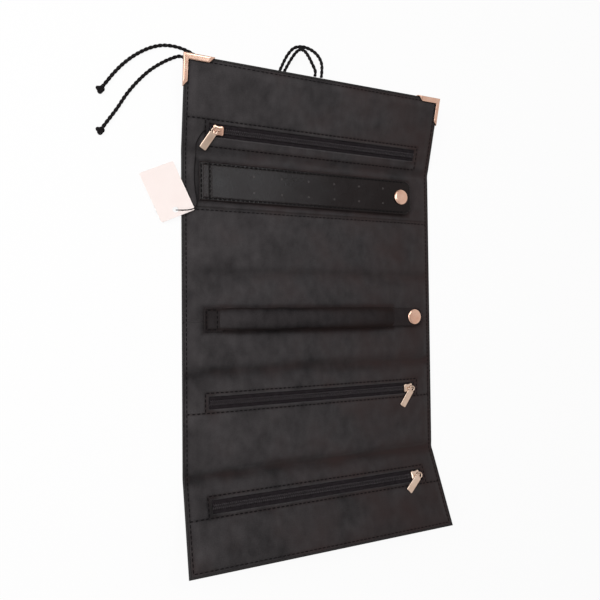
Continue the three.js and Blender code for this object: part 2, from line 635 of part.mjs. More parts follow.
// Earring flap: sewn down at its left end, and rising a little to the snap at its right end.
function earringFlap(panelGroup) {
  const wide = EARRING_FLAP_WIDTH / 2;
  const anchorLeft = EARRING_ANCHOR_INSET - half;
  const anchorRight = anchorLeft + EARRING_ANCHOR_LENGTH;
  const strapHigh = strapLow + EARRING_FLAP_THICKNESS;
  const anchor = block(anchorLeft, anchorRight, -wide, wide, strapLow, strapHigh);
  anchor.translate(0, earringFlapPlace, 0);
  add(panelGroup, "earring_flap_anchor", anchor, LEATHER);

  const hingeX = anchorRight + CLEARANCE / 2;
  const flapEnd = half - EARRING_FLAP_END_INSET - hingeX;
  const reach = flapEnd - EARRING_SNAP_FROM_END;
  const rise = Math.asin((snapLift - LAYER_GAP) / reach);
  const outline = roundedRectangle(CLEARANCE / 2, flapEnd, -wide, wide, 0, EARRING_FLAP_CORNER);
  const holeSpan = flapEnd - EARRING_HOLE_FROM_END - EARRING_HOLE_FROM_HINGE;
  for (let column = 0; column < EARRING_HOLE_COLUMNS; column++) {
    const x = EARRING_HOLE_FROM_HINGE + (column * holeSpan) / (EARRING_HOLE_COLUMNS - 1);
    for (const y of [-EARRING_HOLE_ROWS_APART / 2, EARRING_HOLE_ROWS_APART / 2]) {
      outline.holes.push(roundHole(x, y, EARRING_HOLE_RADIUS, ARC_STEPS + 1));
    }
  }
  outline.holes.push(postHole(reach, 0));

  const flap = new THREE.Group();
  flap.position.set(hingeX, earringFlapPlace, strapHigh);
  flap.rotation.y = -rise;
  add(flap, "earring_flap", slab(outline, -EARRING_FLAP_THICKNESS, 0), LEATHER);
  add(flap, "earring_snap_cap", snapCap(EARRING_FLAP_THICKNESS), METAL).position.x = reach;
  const socket = add(flap, "earring_snap_socket", snapSocket(), METAL);
  socket.position.set(reach, 0, -EARRING_FLAP_THICKNESS);
  panelGroup.add(flap);

  const stud = add(panelGroup, "earring_snap_stud", snapStud(), METAL);
  const socketDrop = EARRING_FLAP_THICKNESS + snapSocketHeight / 2;
  const studX = hingeX + reach * Math.cos(rise) + socketDrop * Math.sin(rise);
  stud.position.set(studX, earringFlapPlace, liningHigh);
}

// The stuffed bar: round sections that flatten to its two sewn ends, one on the lining and one at the
// height of the snap tab.
function stuffedBar(left, right, tabLow) {
  const crown = strapLow + RING_BAR_HEIGHT;
  const tabHigh = tabLow + RING_STRAP_THICKNESS;
  const places = [];
  for (const start of [left, right - RING_BAR_TAPER]) {
    for (let k = 0; k < RING_BAR_END_SECTIONS; k++) {
      places.push(start + (RING_BAR_TAPER * k) / (RING_BAR_END_SECTIONS - 1));
    }
  }
  const swell = (distance) => Math.sin((Math.PI / 2) * Math.min(1, distance / RING_BAR_TAPER));
  const rings = places.map((x) => {
    const fromLeft = swell(x - left);
    const fromRight = swell(right - x);
    const nearLeft = x - left < right - x;
    const endHigh = nearLeft ? strapLow + RING_STRAP_THICKNESS : tabHigh;
    const endLow = nearLeft ? strapLow : tabLow;
    const share = Math.min(fromLeft, fromRight);
    const high = endHigh + (crown - endHigh) * share;
    const low = endLow + (strapLow - endLow) * share;
    const wide = RING_BAR_END_WIDTH + (RING_BAR_WIDTH - RING_BAR_END_WIDTH) * share;
    const ring = [];
    for (let k = 0; k < ROUND_STEPS; k++) {
      const angle = (2 * Math.PI * k) / ROUND_STEPS;
      const bulge = (v) => Math.sign(v) * Math.abs(v) ** (2 / RING_BAR_ROUNDNESS);
      ring.push([
        x,
        (wide / 2) * bulge(Math.cos(angle)),
        (high + low) / 2 + ((high - low) / 2) * bulge(Math.sin(angle)),
      ]);
    }
    return ring;
  });
  return loft(rings);
}

function ringBar(panelGroup) {
  const line = new THREE.Group();
  line.position.y = RING_PANEL_LENGTH / 2 + RING_BAR_ABOVE_MIDDLE;
  const anchorLeft = RING_ANCHOR_INSET - half;
  const anchorRight = anchorLeft + RING_ANCHOR_LENGTH;
  const barRight = half - RING_BAR_END_INSET;
  const tabRight = half - RING_TAB_END_INSET;
  const snapX = tabRight - RING_SNAP_FROM_END;
  const tabLow = liningHigh + snapLift;
  const tabHigh = tabLow + RING_STRAP_THICKNESS;
  const anchor = block(anchorLeft, anchorRight, -RING_ANCHOR_WIDTH / 2, RING_ANCHOR_WIDTH / 2,
    strapLow, strapLow + RING_STRAP_THICKNESS);
  add(line, "ring_bar_anchor", anchor, LINING);
  add(line, "ring_bar", stuffedBar(anchorRight + CLEARANCE, barRight, tabLow), LINING);
  const outline = roundedRectangle(
    barRight + CLEARANCE, tabRight, -RING_TAB_WIDTH / 2, RING_TAB_WIDTH / 2, 0, RING_TAB_CORNER,
  );
  outline.holes.push(postHole(snapX, 0));
  add(line, "ring_bar_tab", slab(outline, tabLow, tabHigh), LINING);
  const cap = add(line, "ring_snap_cap", snapCap(RING_STRAP_THICKNESS), METAL);
  cap.position.set(snapX, 0, tabHigh);
  add(line, "ring_snap_socket", snapSocket(), METAL).position.set(snapX, 0, tabLow);
  add(line, "ring_snap_stud", snapStud(), METAL).position.set(snapX, 0, liningHigh);
  panelGroup.add(line);
}

// A corner cap: an L of folded sheet that grips the flap's corner, with its arms' ends cut at 45 degrees.
function cornerCap(side) {
  const skin = CLEARANCE + CAP_SHEET;
  const x = half + skin;
  const y = TOP_FLAP_LENGTH + skin;
  const outline = outlineOf([
    [x, y], [x - CAP_ARM, y], [x - CAP_ARM + CAP_FLANGE, y - CAP_FLANGE], [x - CAP_FLANGE, y - CAP_FLANGE],
    [x - CAP_FLANGE, y - CAP_ARM + CAP_FLANGE], [x, y - CAP_ARM],
  ]);
  const room = block(
    0, half + CLEARANCE, 0, TOP_FLAP_LENGTH + CLEARANCE, -CLEARANCE, edgeHigh + CLEARANCE,
  );
  const cap = cut(slab(outline, -skin, edgeHigh + skin), room);
  return side > 0 ? cap : mirrored(cap);
}

// The same solid on the other side of X = 0, with its faces turned round again.
function mirrored(geometry) {
  const made = geometry.clone().scale(-1, 1, 1);
  const index = made.index.array;
  for (let i = 0; i < index.length; i += 3) [index[i + 1], index[i + 2]] = [index[i + 2], index[i + 1]];
  return made;
}

// The points of the tag's string, from the left edge and the lining to a panel's own frame.
function stringAt(points, creasePlace) {
  const placed = points.map(([x, y, z]) => [x - half, creasePlace + y, liningHigh + z]);
  return tube(placed, STRING_DIAMETER, STRING_STEPS);
}

// The card leans on the padded edge at the roll's left. Its outer corner lies just over the floor, and
// its string hole is at the near end.
function swingTag(panelGroup) {
  const turn = radians(TAG_TURN);
  const outerReach = (TAG_WIDTH * Math.cos(turn) + TAG_LENGTH * Math.sin(turn)) / 2;
  const innerReach = TAG_PAST_EDGE + paddedInset;
  const slope = Math.atan2(liningHigh, outerReach + innerReach);
  const middle = CLEARANCE + TAG_THICKNESS / (2 * Math.cos(slope)) + outerReach * Math.tan(slope);
  const lean = new THREE.Group();
  lean.position.set(-half - TAG_PAST_EDGE, EARRING_PANEL_LENGTH - TAG_BELOW_CREASE, middle);
  lean.rotation.y = -slope;
  const card = roundedRectangle(
    -TAG_WIDTH / 2, TAG_WIDTH / 2, -TAG_LENGTH / 2, TAG_LENGTH / 2, TAG_CORNER, TAG_CORNER,
  );
  card.holes.push(roundHole(0, TAG_HOLE_FROM_END - TAG_LENGTH / 2, TAG_HOLE_RADIUS, 2 * ARC_STEPS));
  const tag = add(lean, "swing_tag", slab(card, -TAG_THICKNESS / 2, TAG_THICKNESS / 2), CARD);
  tag.rotation.z = turn;
  panelGroup.add(lean);
  add(panelGroup, "tag_string", stringAt(STRING_ON_PANEL, EARRING_PANEL_LENGTH), CORD);
}

// Assembly: each panel's group hangs on the next one's, turned about their shared crease.

const roll = new THREE.Group();

const ringGroup = panelShell(ringPanel);
const [ringLiningLow, ringLiningHigh] = stretch(ringPanel, 0, creaseSetback);
add(ringGroup, "ring_panel_lining", liningSheet(ringPanel, ringLiningLow, ringLiningHigh), LINING);
ringBar(ringGroup);
roll.add(ringGroup);

const earringGroup = panelShell(earringPanel);
earringGroup.position.y = RING_PANEL_LENGTH;
seamedLining(earringGroup, earringPanel, earringSeamPlace);
earringFlap(earringGroup);
swingTag(earringGroup);
ringGroup.add(earringGroup);

const topFold = new THREE.Group();
topFold.position.set(0, EARRING_PANEL_LENGTH, foldAxis);
topFold.rotation.x = radians(TOP_FLAP_RISE);
const topGroup = panelShell(topFlap);
topGroup.position.z = -foldAxis;
const topWindow = windowAt(TOP_ZIP_FROM_CREASE);
seamedLining(topGroup, topFlap, topWindow.high, topWindow);
zip(topGroup, "top_zip", TOP_ZIP_FROM_CREASE, -1, TOP_PULL_LEAN);
add(topGroup, "corner_cap_left", cornerCap(-1), METAL);
add(topGroup, "corner_cap_right", cornerCap(1), METAL);
add(topGroup, "tag_string_end", stringAt(STRING_ON_FLAP, 0), CORD);
topFold.add(topGroup);
earringGroup.add(topFold);

const pocketGroup = panelShell(pocketPanel);
pocketGroup.position.y = -POCKET_PANEL_LENGTH;
const pocketZipPlace = POCKET_PANEL_LENGTH - POCKET_ZIP_FROM_CREASE;
const pocketWindow = windowAt(pocketZipPlace);
seamedLining(pocketGroup, pocketPanel, pocketWindow.low, pocketWindow);
zip(pocketGroup, "pocket_zip", pocketZipPlace, 1, POCKET_PULL_LEAN);
ringGroup.add(pocketGroup);

const endFold = new THREE.Group();
endFold.position.z = foldAxis;
endFold.rotation.x = -radians(END_FLAP_RISE);
const endGroup = panelShell(endFlap);
endGroup.position.set(0, -END_FLAP_LENGTH, -foldAxis);
const endZipPlace = END_FLAP_LENGTH - END_ZIP_FROM_CREASE;
const endWindow = windowAt(endZipPlace);
seamedLining(endGroup, endFlap, endWindow.low, endWindow);
zip(endGroup, "end_zip", endZipPlace, 1, END_PULL_LEAN);
endFold.add(endGroup);
pocketGroup.add(endFold);

// The origin is under the middle of the roll's own box, without its cord and tag.
roll.updateMatrixWorld(true);
const box = new THREE.Box3();
roll.traverse((piece) => {
  const isLoose = piece.name.startsWith("tag_") || piece.name === "swing_tag";
  if (piece.isMesh && !isLoose) box.expandByObject(piece, true);
});
roll.position.y = -(box.min.y + box.max.y) / 2;
roll.updateMatrixWorld(true);

// The tie cord leaves the middle of the flap's edge and lies on what the roll stands on.
function tieCord(name, startX, points) {
  const pastEdge = (x, y) =>
    topGroup.localToWorld(new THREE.Vector3(x, TOP_FLAP_LENGTH + y, edgeHigh / 2)).toArray();
  const edge = topGroup.localToWorld(new THREE.Vector3(0, TOP_FLAP_LENGTH, 0)).y;
  const laid = points.map(([x, y, z]) => [x, edge + y, z]);
  const route = [pastEdge(startX, CLEARANCE), pastEdge(startX, CORD_STRAIGHT), ...laid];
  const [last, before] = [laid.at(-1), laid.at(-2)].map((point) => new THREE.Vector3(...point));
  const heading = last.clone().sub(before).normalize();
  const group = new THREE.Group();
  add(group, `tie_cord_${name}`, tube(route, CORD_DIAMETER, CORD_STEPS), CORD);
  const ball = new THREE.SphereGeometry(KNOT_RADIUS, KNOT_SIDES, KNOT_RINGS);
  const knot = add(group, `tie_knot_${name}`, ball, CORD);
  knot.position.copy(last.addScaledVector(heading, KNOT_RADIUS + CLEARANCE)).setZ(KNOT_RADIUS);
  return group;
}

const part = new THREE.Group();
part.add(roll);
part.add(tieCord("lower", LOWER_STRAND_X, LOWER_STRAND));
part.add(tieCord("upper", UPPER_STRAND_X, UPPER_STRAND));

export default part;
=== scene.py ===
# %% [markdown]
# # A jewelry roll, lying open
# A jewelry roll is a long padded case that folds at four creases and is tied shut with a cord. Outside it
# is black leather, inside it is lined with charcoal suede. Here it lies open, and its two end flaps curl up.
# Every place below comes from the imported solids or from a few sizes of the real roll, in metres.

# %% Load the frame
import json

import bmesh
import bpy
import numpy as np
from mathutils import Matrix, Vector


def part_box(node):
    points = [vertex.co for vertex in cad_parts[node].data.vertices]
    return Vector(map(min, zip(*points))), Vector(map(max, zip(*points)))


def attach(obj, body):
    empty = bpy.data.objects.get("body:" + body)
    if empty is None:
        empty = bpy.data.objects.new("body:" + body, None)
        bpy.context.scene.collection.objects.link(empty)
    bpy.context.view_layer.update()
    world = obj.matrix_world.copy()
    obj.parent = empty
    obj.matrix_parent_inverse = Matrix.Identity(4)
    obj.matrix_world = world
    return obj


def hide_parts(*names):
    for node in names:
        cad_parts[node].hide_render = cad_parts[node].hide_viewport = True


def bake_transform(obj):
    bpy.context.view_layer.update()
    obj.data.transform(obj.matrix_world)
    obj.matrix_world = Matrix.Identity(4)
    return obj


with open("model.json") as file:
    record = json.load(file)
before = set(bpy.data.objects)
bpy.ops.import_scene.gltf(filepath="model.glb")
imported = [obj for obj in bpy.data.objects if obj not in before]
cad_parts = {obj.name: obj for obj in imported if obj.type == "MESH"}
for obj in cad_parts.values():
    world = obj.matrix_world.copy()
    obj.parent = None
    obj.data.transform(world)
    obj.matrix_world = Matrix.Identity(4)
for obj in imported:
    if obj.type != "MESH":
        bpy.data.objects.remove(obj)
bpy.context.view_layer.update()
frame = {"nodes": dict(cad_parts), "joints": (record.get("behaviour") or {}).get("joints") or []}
MM = 0.001

# %% [markdown]
# ## The camera
# The photograph looks down on the roll from the left, so the right side runs away and looks shorter.
# A camera could be aimed by eye. Here its place and its axes were solved from the roll's corners and
# creases in the picture, so the render and the photograph can be laid over each other.

# %% Camera
PHOTO_PIXELS = 600
FOCAL_PIXELS = 490.3
SENSOR_MM = 36
CAMERA_PLACE = np.array([-156.34, -1.29, 354.74]) * MM
CAMERA_RIGHT = np.array([0.92830, -0.00987, 0.37171])
CAMERA_DOWN = np.array([-0.00100, -0.99971, -0.02405])

lens = bpy.data.cameras.new("photo_lens")
lens.sensor_width = SENSOR_MM
lens.lens = FOCAL_PIXELS / PHOTO_PIXELS * SENSOR_MM
camera = bpy.data.objects.new("photo_camera", lens)
bpy.context.scene.collection.objects.link(camera)
turned = np.eye(4)
turned[:3, 0] = CAMERA_RIGHT
turned[:3, 1] = -CAMERA_DOWN
turned[:3, 2] = -np.cross(CAMERA_RIGHT, CAMERA_DOWN)
turned[:3, 3] = CAMERA_PLACE
camera.matrix_world = Matrix(turned.tolist())
bpy.context.scene.camera = camera
bpy.context.scene.view_settings.view_transform = "Standard"
print("lens", round(lens.lens, 1), "mm")

# %% [markdown]
# ## Writing finishes as sums
# A finish is a small network of nodes. Wiring nodes by hand is long to read, so a Shade wraps one socket
# and takes plain + - * signs, and a Finish adds any other node with one call. Colours are given as they
# are read off a picture, from 0 to 255, and turned into the linear light that the shader works in.

# %% Shader expressions
def put(tree, socket, value):
    """Links a Shade to a socket, or sets the socket's own value."""
    if isinstance(value, Shade):
        tree.links.new(value.socket, socket)
    else:
        socket.default_value = value


class Shade:
    """One output socket. Signs between Shades and numbers add Math nodes."""

    def __init__(self, tree, socket):
        self.tree = tree
        self.socket = socket

    def maths(self, operation, first, second):
        """A Math node with two inputs."""
        node = self.tree.nodes.new("ShaderNodeMath")
        node.operation = operation
        put(self.tree, node.inputs[0], first)
        put(self.tree, node.inputs[1], second)
        return Shade(self.tree, node.outputs[0])

    def __add__(self, other):
        return self.maths("ADD", self, other)

    def __mul__(self, other):
        return self.maths("MULTIPLY", self, other)

    def __sub__(self, other):
        return self.maths("SUBTRACT", self, other)

    def __rsub__(self, other):
        return self.maths("SUBTRACT", other, self)

    def __pow__(self, other):
        return self.maths("POWER", self, other)

    __radd__ = __add__
    __rmul__ = __mul__


def picture_colour(red, green, blue):
    """A colour of 0 to 255 as linear light: the power law that pictures are stored with, undone."""
    share = np.array([red, green, blue]) / 255
    linear = np.where(share > 0.04045, ((share + 0.055) / 1.055) ** 2.4, share / 12.92)
    return (*linear.tolist(), 1.0)


class Finish:
    """A material with its Principled shader. Constants go straight onto the shader's own sockets."""

    def __init__(self, name, **constants):
        self.material = bpy.data.materials.new(name)
        self.material.use_nodes = True
        self.tree = self.material.node_tree
        self.shader = self.tree.nodes["Principled BSDF"]
        for socket, value in constants.items():
            self.shader.inputs[socket.replace("_", " ")].default_value = value

    def node(self, kind, settings=None, sockets=None, out=0):
        """Any node: its settings first, then the values or links of its sockets."""
        node = self.tree.nodes.new(kind)
        for key, value in (settings or {}).items():
            setattr(node, key, value)
        for key, value in (sockets or {}).items():
            put(self.tree, node.inputs[key], value)
        return Shade(self.tree, node.outputs[out])

    def feed(self, socket, value):
        """Links or sets one socket of the shader."""
        put(self.tree, self.shader.inputs[socket], value)

    def place(self, kind="Object"):
        """Where a point lies: on the object, or on its own flat map."""
        return self.node("ShaderNodeTexCoord", out=kind)

    def stretched(self, place, x, y, z):
        """A place multiplied along each axis."""
        return self.node("ShaderNodeMapping", None, {"Vector": place, "Scale": (x, y, z)})

    def noise(self, place, size, detail=2.0):
        """Soft noise whose clouds are about that size."""
        sockets = {"Vector": place, "Scale": 1 / size, "Detail": detail}
        return self.node("ShaderNodeTexNoise", None, sockets)

    def cells(self, place, size):
        """The distance to the nearest of scattered points, about that far apart."""
        sockets = {"Vector": place, "Scale": 1 / size}
        return self.node("ShaderNodeTexVoronoi", None, sockets)

    def mixed(self, share, first, second):
        """The first colour where share is 0, the second where it is 1."""
        settings = {"data_type": "RGBA", "clamp_factor": True}
        return self.node("ShaderNodeMix", settings, {0: share, 6: first, 7: second}, out=2)

    def bump(self, height, depth, strength=1.0):
        """Tilts the surface as if the height stood out by that depth."""
        sockets = {"Height": height, "Distance": depth, "Strength": strength}
        self.feed("Normal", self.node("ShaderNodeBump", None, sockets))


print("shader expressions ready")

# %% [markdown]
# ## Meshes from arrays
# Every new piece is a grid of points worked out with numpy. Primitives could be pushed about by hand, but
# a formula is easier to read and to correct. These helpers turn a grid into a mesh, weld the points that
# meet, and give a path the two directions that a tube round it needs.

# %% Mesh helpers
def grid_faces(rows, columns, round_rows=False, round_columns=False):
    """Four-sided faces between neighbours of a grid. A round direction joins its last line to its first."""
    index = np.arange(rows * columns).reshape(rows, columns)
    if round_rows:
        index = np.vstack([index, index[:1]])
    if round_columns:
        index = np.hstack([index, index[:, :1]])
    sides = [index[:-1, :-1], index[1:, :-1], index[1:, 1:], index[:-1, 1:]]
    return np.stack(sides, axis=-1).reshape(-1, 4)


def joined(*shells):
    """Several sets of points and faces as one. Each set's faces count on from the points before it."""
    starts = np.cumsum([0] + [points[..., 0].size for points, faces in shells])
    points = np.vstack([points.reshape(-1, 3) for points, faces in shells])
    return points, np.vstack([faces + start for (points, faces), start in zip(shells, starts)])


def repeated(faces, size, count):
    """One shape's faces for many copies of it. Each copy counts on by the shape's number of points."""
    return (faces[None] + (np.arange(count) * size)[:, None, None]).reshape(-1, 4)


def make_piece(name, points, faces, finish, flat=None, wear=None, sharp=50):
    """A mesh at the origin, without unused points. flat is its UV map; the tone shift after it carries
    painted shade and highlights.
    """
    points = points.reshape(-1, 3)
    used, faces = np.unique(faces, return_inverse=True)
    faces = faces.reshape(-1, 4)
    mesh = bpy.data.meshes.new(name)
    mesh.from_pydata(points[used].tolist(), [], faces.tolist())
    mesh.materials.append(finish.material)
    if flat is not None:
        corners = np.empty(len(mesh.loops), np.int32)
        mesh.loops.foreach_get("vertex_index", corners)
        layer = mesh.uv_layers.new(name="flat")
        layer.uv.foreach_set("vector", flat.reshape(-1, 2)[used][corners].astype(np.float32).ravel())
    # A point attribute that shifts the finish's tone: painted shade and painted highlights, with some tone of
    # the piece's own.
    if wear is not None:
        shade = mesh.attributes.new("wear", "FLOAT", "POINT")
        shade.data.foreach_set("value", wear.ravel()[used].astype(np.float32))
    mesh.shade_smooth()
    mesh.set_sharp_from_angle(angle=np.radians(sharp))
    piece = bpy.data.objects.new(name, mesh)
    bpy.context.scene.collection.objects.link(piece)
    return piece


WELD = 1e-7


def weld(piece, outward=True):
    """Merges points in the same place, which closes poles and seams, and turns a closed shell outward."""
    shell = bmesh.new()
    shell.from_mesh(piece.data)
    bmesh.ops.remove_doubles(shell, verts=shell.verts, dist=WELD)
    bmesh.ops.dissolve_degenerate(shell, edges=shell.edges, dist=WELD)
    if outward:
        bmesh.ops.recalc_face_normals(shell, faces=shell.faces)
    shell.to_mesh(piece.data)
    shell.free()
    return piece


def thicken(piece, thickness):
    """Gives a sheet its thickness on the inner side."""
    solid = piece.modifiers.new("thickness", "SOLIDIFY")
    solid.thickness = thickness
    solid.offset = -1
    return piece


print("mesh helpers ready")

# %% Path helpers
def curve_through(points, step):
    """A smooth curve through the points (centripetal Catmull-Rom), sampled at even steps of its length."""
    points = np.asarray(points, float)
    held = np.vstack([2 * points[0] - points[1], points, 2 * points[-1] - points[-2]])
    knots = np.append(0, np.cumsum(np.linalg.norm(np.diff(held, axis=0), axis=1) ** 0.5))
    runs = []
    for k in range(1, len(held) - 2):
        t = np.linspace(knots[k], knots[k + 1], 32, endpoint=False)[:, None]
        part = held[k - 1:k + 3]
        knot = knots[k - 1:k + 3]
        for spans in ([(0, 1), (1, 2), (2, 3)], [(0, 2), (1, 3)], [(1, 2)]):
            ends = [(knot[a], knot[b]) for a, b in spans]
            part = [((b - t) * part[i] + (t - a) * part[i + 1]) / (b - a) for i, (a, b) in enumerate(ends)]
        runs.append(part[0])
    fine = np.vstack([*runs, points[-1:]])
    along = np.append(0, np.cumsum(np.linalg.norm(np.diff(fine, axis=0), axis=1)))
    even = np.linspace(0, along[-1], int(np.ceil(along[-1] / step)) + 1)
    return np.stack([np.interp(even, along, fine[:, k]) for k in range(3)], axis=1)


def full_turn(count):
    """Even angles once round a circle."""
    return np.linspace(0, 2 * np.pi, count, endpoint=False)


def pinched(count):
    """Ones with a nought at each end, which draws a tube's first and last rings to a point."""
    closing = np.ones(count)
    closing[[0, -1]] = 0
    return closing


def unit(ways):
    """Directions divided by their lengths."""
    return ways / np.linalg.norm(ways, axis=1, keepdims=True)


def square_to(run, across):
    """A direction to the side of each run and one that lifts off it, by two cross products."""
    run = unit(run)
    side = unit(np.cross(run, across))
    return side, np.cross(side, run)


def path_frame(path, across=(0, 0, 1)):
    """At each point of a path, a direction to its side and one that lifts off it, square to its run."""
    return square_to(np.gradient(path, axis=0), across)


def rings(side, lift, count):
    """A circle of radius one in the plane of each side and lift."""
    angle = full_turn(count)[:, None]
    return np.cos(angle) * side[:, None] + np.sin(angle) * lift[:, None]


def path_length(path):
    """The sum of the steps between a path's points."""
    return float(np.linalg.norm(np.diff(path, axis=0), axis=1).sum())


def tube(path, radius, sides, across=(0, 0, 1)):
    """A circle carried along a path. Its first and last rings shrink to a point, which closes the ends."""
    side, lift = path_frame(path, across)
    points = path[:, None] + radius * pinched(len(path))[:, None, None] * rings(side, lift, sides)
    return points, grid_faces(len(path), sides, round_columns=True)


print("path helpers ready")

# %% [markdown]
# ## Creases and the bend
# The roll is five flat panels. The top flap curls up by 16 degrees and the end flap by 25, each about the
# crease where it meets its neighbour. Every sewn piece is worked out flat, as it lies on the cutting
# table, and then passed through one bend, so that lining, cover and stitches always agree.

# %% The bend
joints = {joint["name"]: joint for joint in frame["joints"]}
TOP_CREASE = joints["fold_top_flap"]["pos_m"][1]
EARRING_CREASE = joints["fold_earring_panel"]["pos_m"][1]
POCKET_CREASE = joints["fold_pocket_panel"]["pos_m"][1]
END_CREASE = joints["fold_end_flap"]["pos_m"][1]
FOLD_HEIGHT = joints["fold_top_flap"]["pos_m"][2]
HALF_WIDTH = 105 * MM
FLAP_LENGTH = 63 * MM
TOP_EDGE = TOP_CREASE + FLAP_LENGTH
END_EDGE = END_CREASE - FLAP_LENGTH
TOP_RISE = np.radians(16)
END_RISE = np.radians(-25)
SOFT = 5 * MM


def smooth(share):
    """An even ramp from 0 to 1 with soft ends: three squares less two cubes."""
    share = np.clip(share, 0, 1)
    return share * share * (3 - 2 * share)


def lifted(points, crease, angle):
    """Turns points about a crease's axis, which runs along X at the fold height."""
    y = points[..., 1] - crease
    z = points[..., 2] - FOLD_HEIGHT
    out = points.copy()
    out[..., 1] = crease + y * np.cos(angle) - z * np.sin(angle)
    out[..., 2] = FOLD_HEIGHT + y * np.sin(angle) + z * np.cos(angle)
    return out


def bend(points):
    """Lifts flat points past the two raised creases. The angle grows evenly across each soft crease."""
    top = TOP_RISE * smooth((points[..., 1] - TOP_CREASE + SOFT) / (2 * SOFT))
    end = END_RISE * smooth((END_CREASE - points[..., 1] + SOFT) / (2 * SOFT))
    return lifted(lifted(points, TOP_CREASE, top), END_CREASE, end)


CREASE_BODIES = {
    TOP_CREASE: ("earring_panel", "top_flap"),
    EARRING_CREASE: ("ring_panel", "earring_panel"),
    POCKET_CREASE: ("pocket_panel", "ring_panel"),
    END_CREASE: ("end_flap", "pocket_panel"),
}


def fold_at(piece, crease):
    """Bakes a piece's place into its points. The piece does not fold with its crease."""
    start = (0, crease - SOFT, FOLD_HEIGHT)
    end = (0, crease + SOFT, FOLD_HEIGHT)
    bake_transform(piece)


print("creases at", [round(crease, 4) for crease in CREASE_BODIES])

# %% [markdown]
# ## The tie cord
# Two black cords are sewn into the middle of the top edge. They loop over behind the flap, lie on the
# table behind it and come out at the left, where each ends in a knot. A curve with a round bevel would
# be smooth, but this cord is two plies twisted round each other, so each ply is a tube that circles the
# cord's own line.

# %% Cord finish
cord_finish = Finish("cord", Roughness=0.8, Specular_IOR_Level=0.12)
cord_place = cord_finish.place()
cord_fibre = cord_finish.noise(cord_place, 0.5 * MM, 3)
cord_black = picture_colour(8, 7, 8)
cord_worn = picture_colour(36, 33, 34)
cord_finish.feed("Base Color", cord_finish.mixed(cord_fibre ** 1.6, cord_black, cord_worn))
cord_finish.bump(cord_fibre, 0.25 * MM, 0.8)
print("cord finish", cord_finish.material.name)

# %% Cord routes
SEWN_HEIGHT = 1.6
KNOT_TUBE = 1.1 * MM
KNOT_SCALE = 0.66 * MM
EDGE_BEHIND = bend(np.array([[0, TOP_EDGE, 0]]))[0, 1]
LOWER_START = -8
UPPER_START = -2.7
LOWER_ROUTE = [
    [-10.6, 9.7, 19.6], [-12.6, 15.6, 17.6], [-14.3, 20.6, 14.5], [-16.2, 23.2, 11], [-18.1, 22.7, 7.5],
    [-20.2, 19.9, 4.5], [-22.8, 15.4, 2.5], [-25.4, 10.3, 1.7], [-28.5, 4, 1.6], [-33.5, -4, 1.6],
    [-41, -10.5, 1.6], [-50, -14.8, 1.6], [-61, -16.3, 1.6], [-72, -14.5, 1.6], [-83, -8.5, 1.6],
    [-92, -0.8, 1.6], [-98.5, 4, 1.6], [-105.3, 6, 1.6], [-112.2, 2.9, 1.6], [-118.9, -1.6, 1.6],
    [-126.7, -8.2, 1.6], [-134.4, -16.9, 1.6], [-141.3, -26.5, 1.6], [-148.2, -38.4, 1.6],
    [-154, -47.4, 1.6], [-156.5, -51.3, 1.6],
]
UPPER_ROUTE = [
    [-2.6, 9.6, 20], [-3.7, 15.1, 18.4], [-6.6, 20.4, 15.8], [-10.6, 24.2, 12.7], [-15, 26.4, 9.4],
    [-19.6, 26, 6.6], [-23.4, 22.2, 3.8], [-26.4, 16.6, 2.1], [-29.4, 10, 1.6], [-33, 3.5, 1.6],
    [-39.5, -3.5, 1.6], [-49, -8.5, 1.6], [-60, -10.5, 1.6], [-71, -8.5, 1.6], [-81, -2.5, 1.6],
    [-89, 4.5, 1.6], [-97.2, 9.7, 1.6], [-104.1, 11.8, 1.6], [-111, 12.4, 1.6], [-118.3, 11.4, 1.6],
    [-125.5, 8.5, 1.6], [-132, 4.4, 1.6], [-138.5, -0.9, 1.6], [-144.9, -7.5, 1.6], [-150.1, -14.1, 1.6],
    [-153.8, -19.5, 1.6], [-156.4, -23.4, 1.6],
]


def cord_points(start, route, knot):
    """The sewn start on the flap's own slope, the route past the flap's edge, then into the knot."""
    sewn = np.array([[start, 0.3, SEWN_HEIGHT], [start, 4, SEWN_HEIGHT]]) * MM
    sewn[:, 1] += TOP_EDGE
    loose = np.array(route) * MM
    loose[:, 1] += EDGE_BEHIND
    return np.vstack([bend(sewn), loose, [knot]])


def knot_middle(strand):
    """The middle of the knot's solid, at the height where the knot lies on the table."""
    low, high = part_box("tie_knot_" + strand)
    return [(low[0] + high[0]) / 2, (low[1] + high[1]) / 2, KNOT_TUBE + KNOT_SCALE]


routes = {
    "lower": cord_points(LOWER_START, LOWER_ROUTE, knot_middle("lower")),
    "upper": cord_points(UPPER_START, UPPER_ROUTE, knot_middle("upper")),
}
print("cord points", {strand: len(points) for strand, points in routes.items()})

# %% Twisted cords
PLY_RADIUS = 0.86 * MM
PLY_OFFSET = 0.40 * MM
TWIST = 7 * MM
PLIES = 2
PLY_SIDES = 10
KNOT_STEPS = 96
KNOT_SIDES = 12


def twisted(path):
    """Each ply's centre circles the path once a twist, half a turn from the other, with a tube round it."""
    side, lift = path_frame(path)
    along = np.append(0, np.cumsum(np.linalg.norm(np.diff(path, axis=0), axis=1)))
    plies = []
    for ply in range(PLIES):
        angle = (2 * np.pi * (along / TWIST + ply / PLIES))[:, None]
        centre = path + PLY_OFFSET * (np.cos(angle) * side + np.sin(angle) * lift)
        plies.append(tube(centre, PLY_RADIUS, PLY_SIDES))
    return joined(*plies)


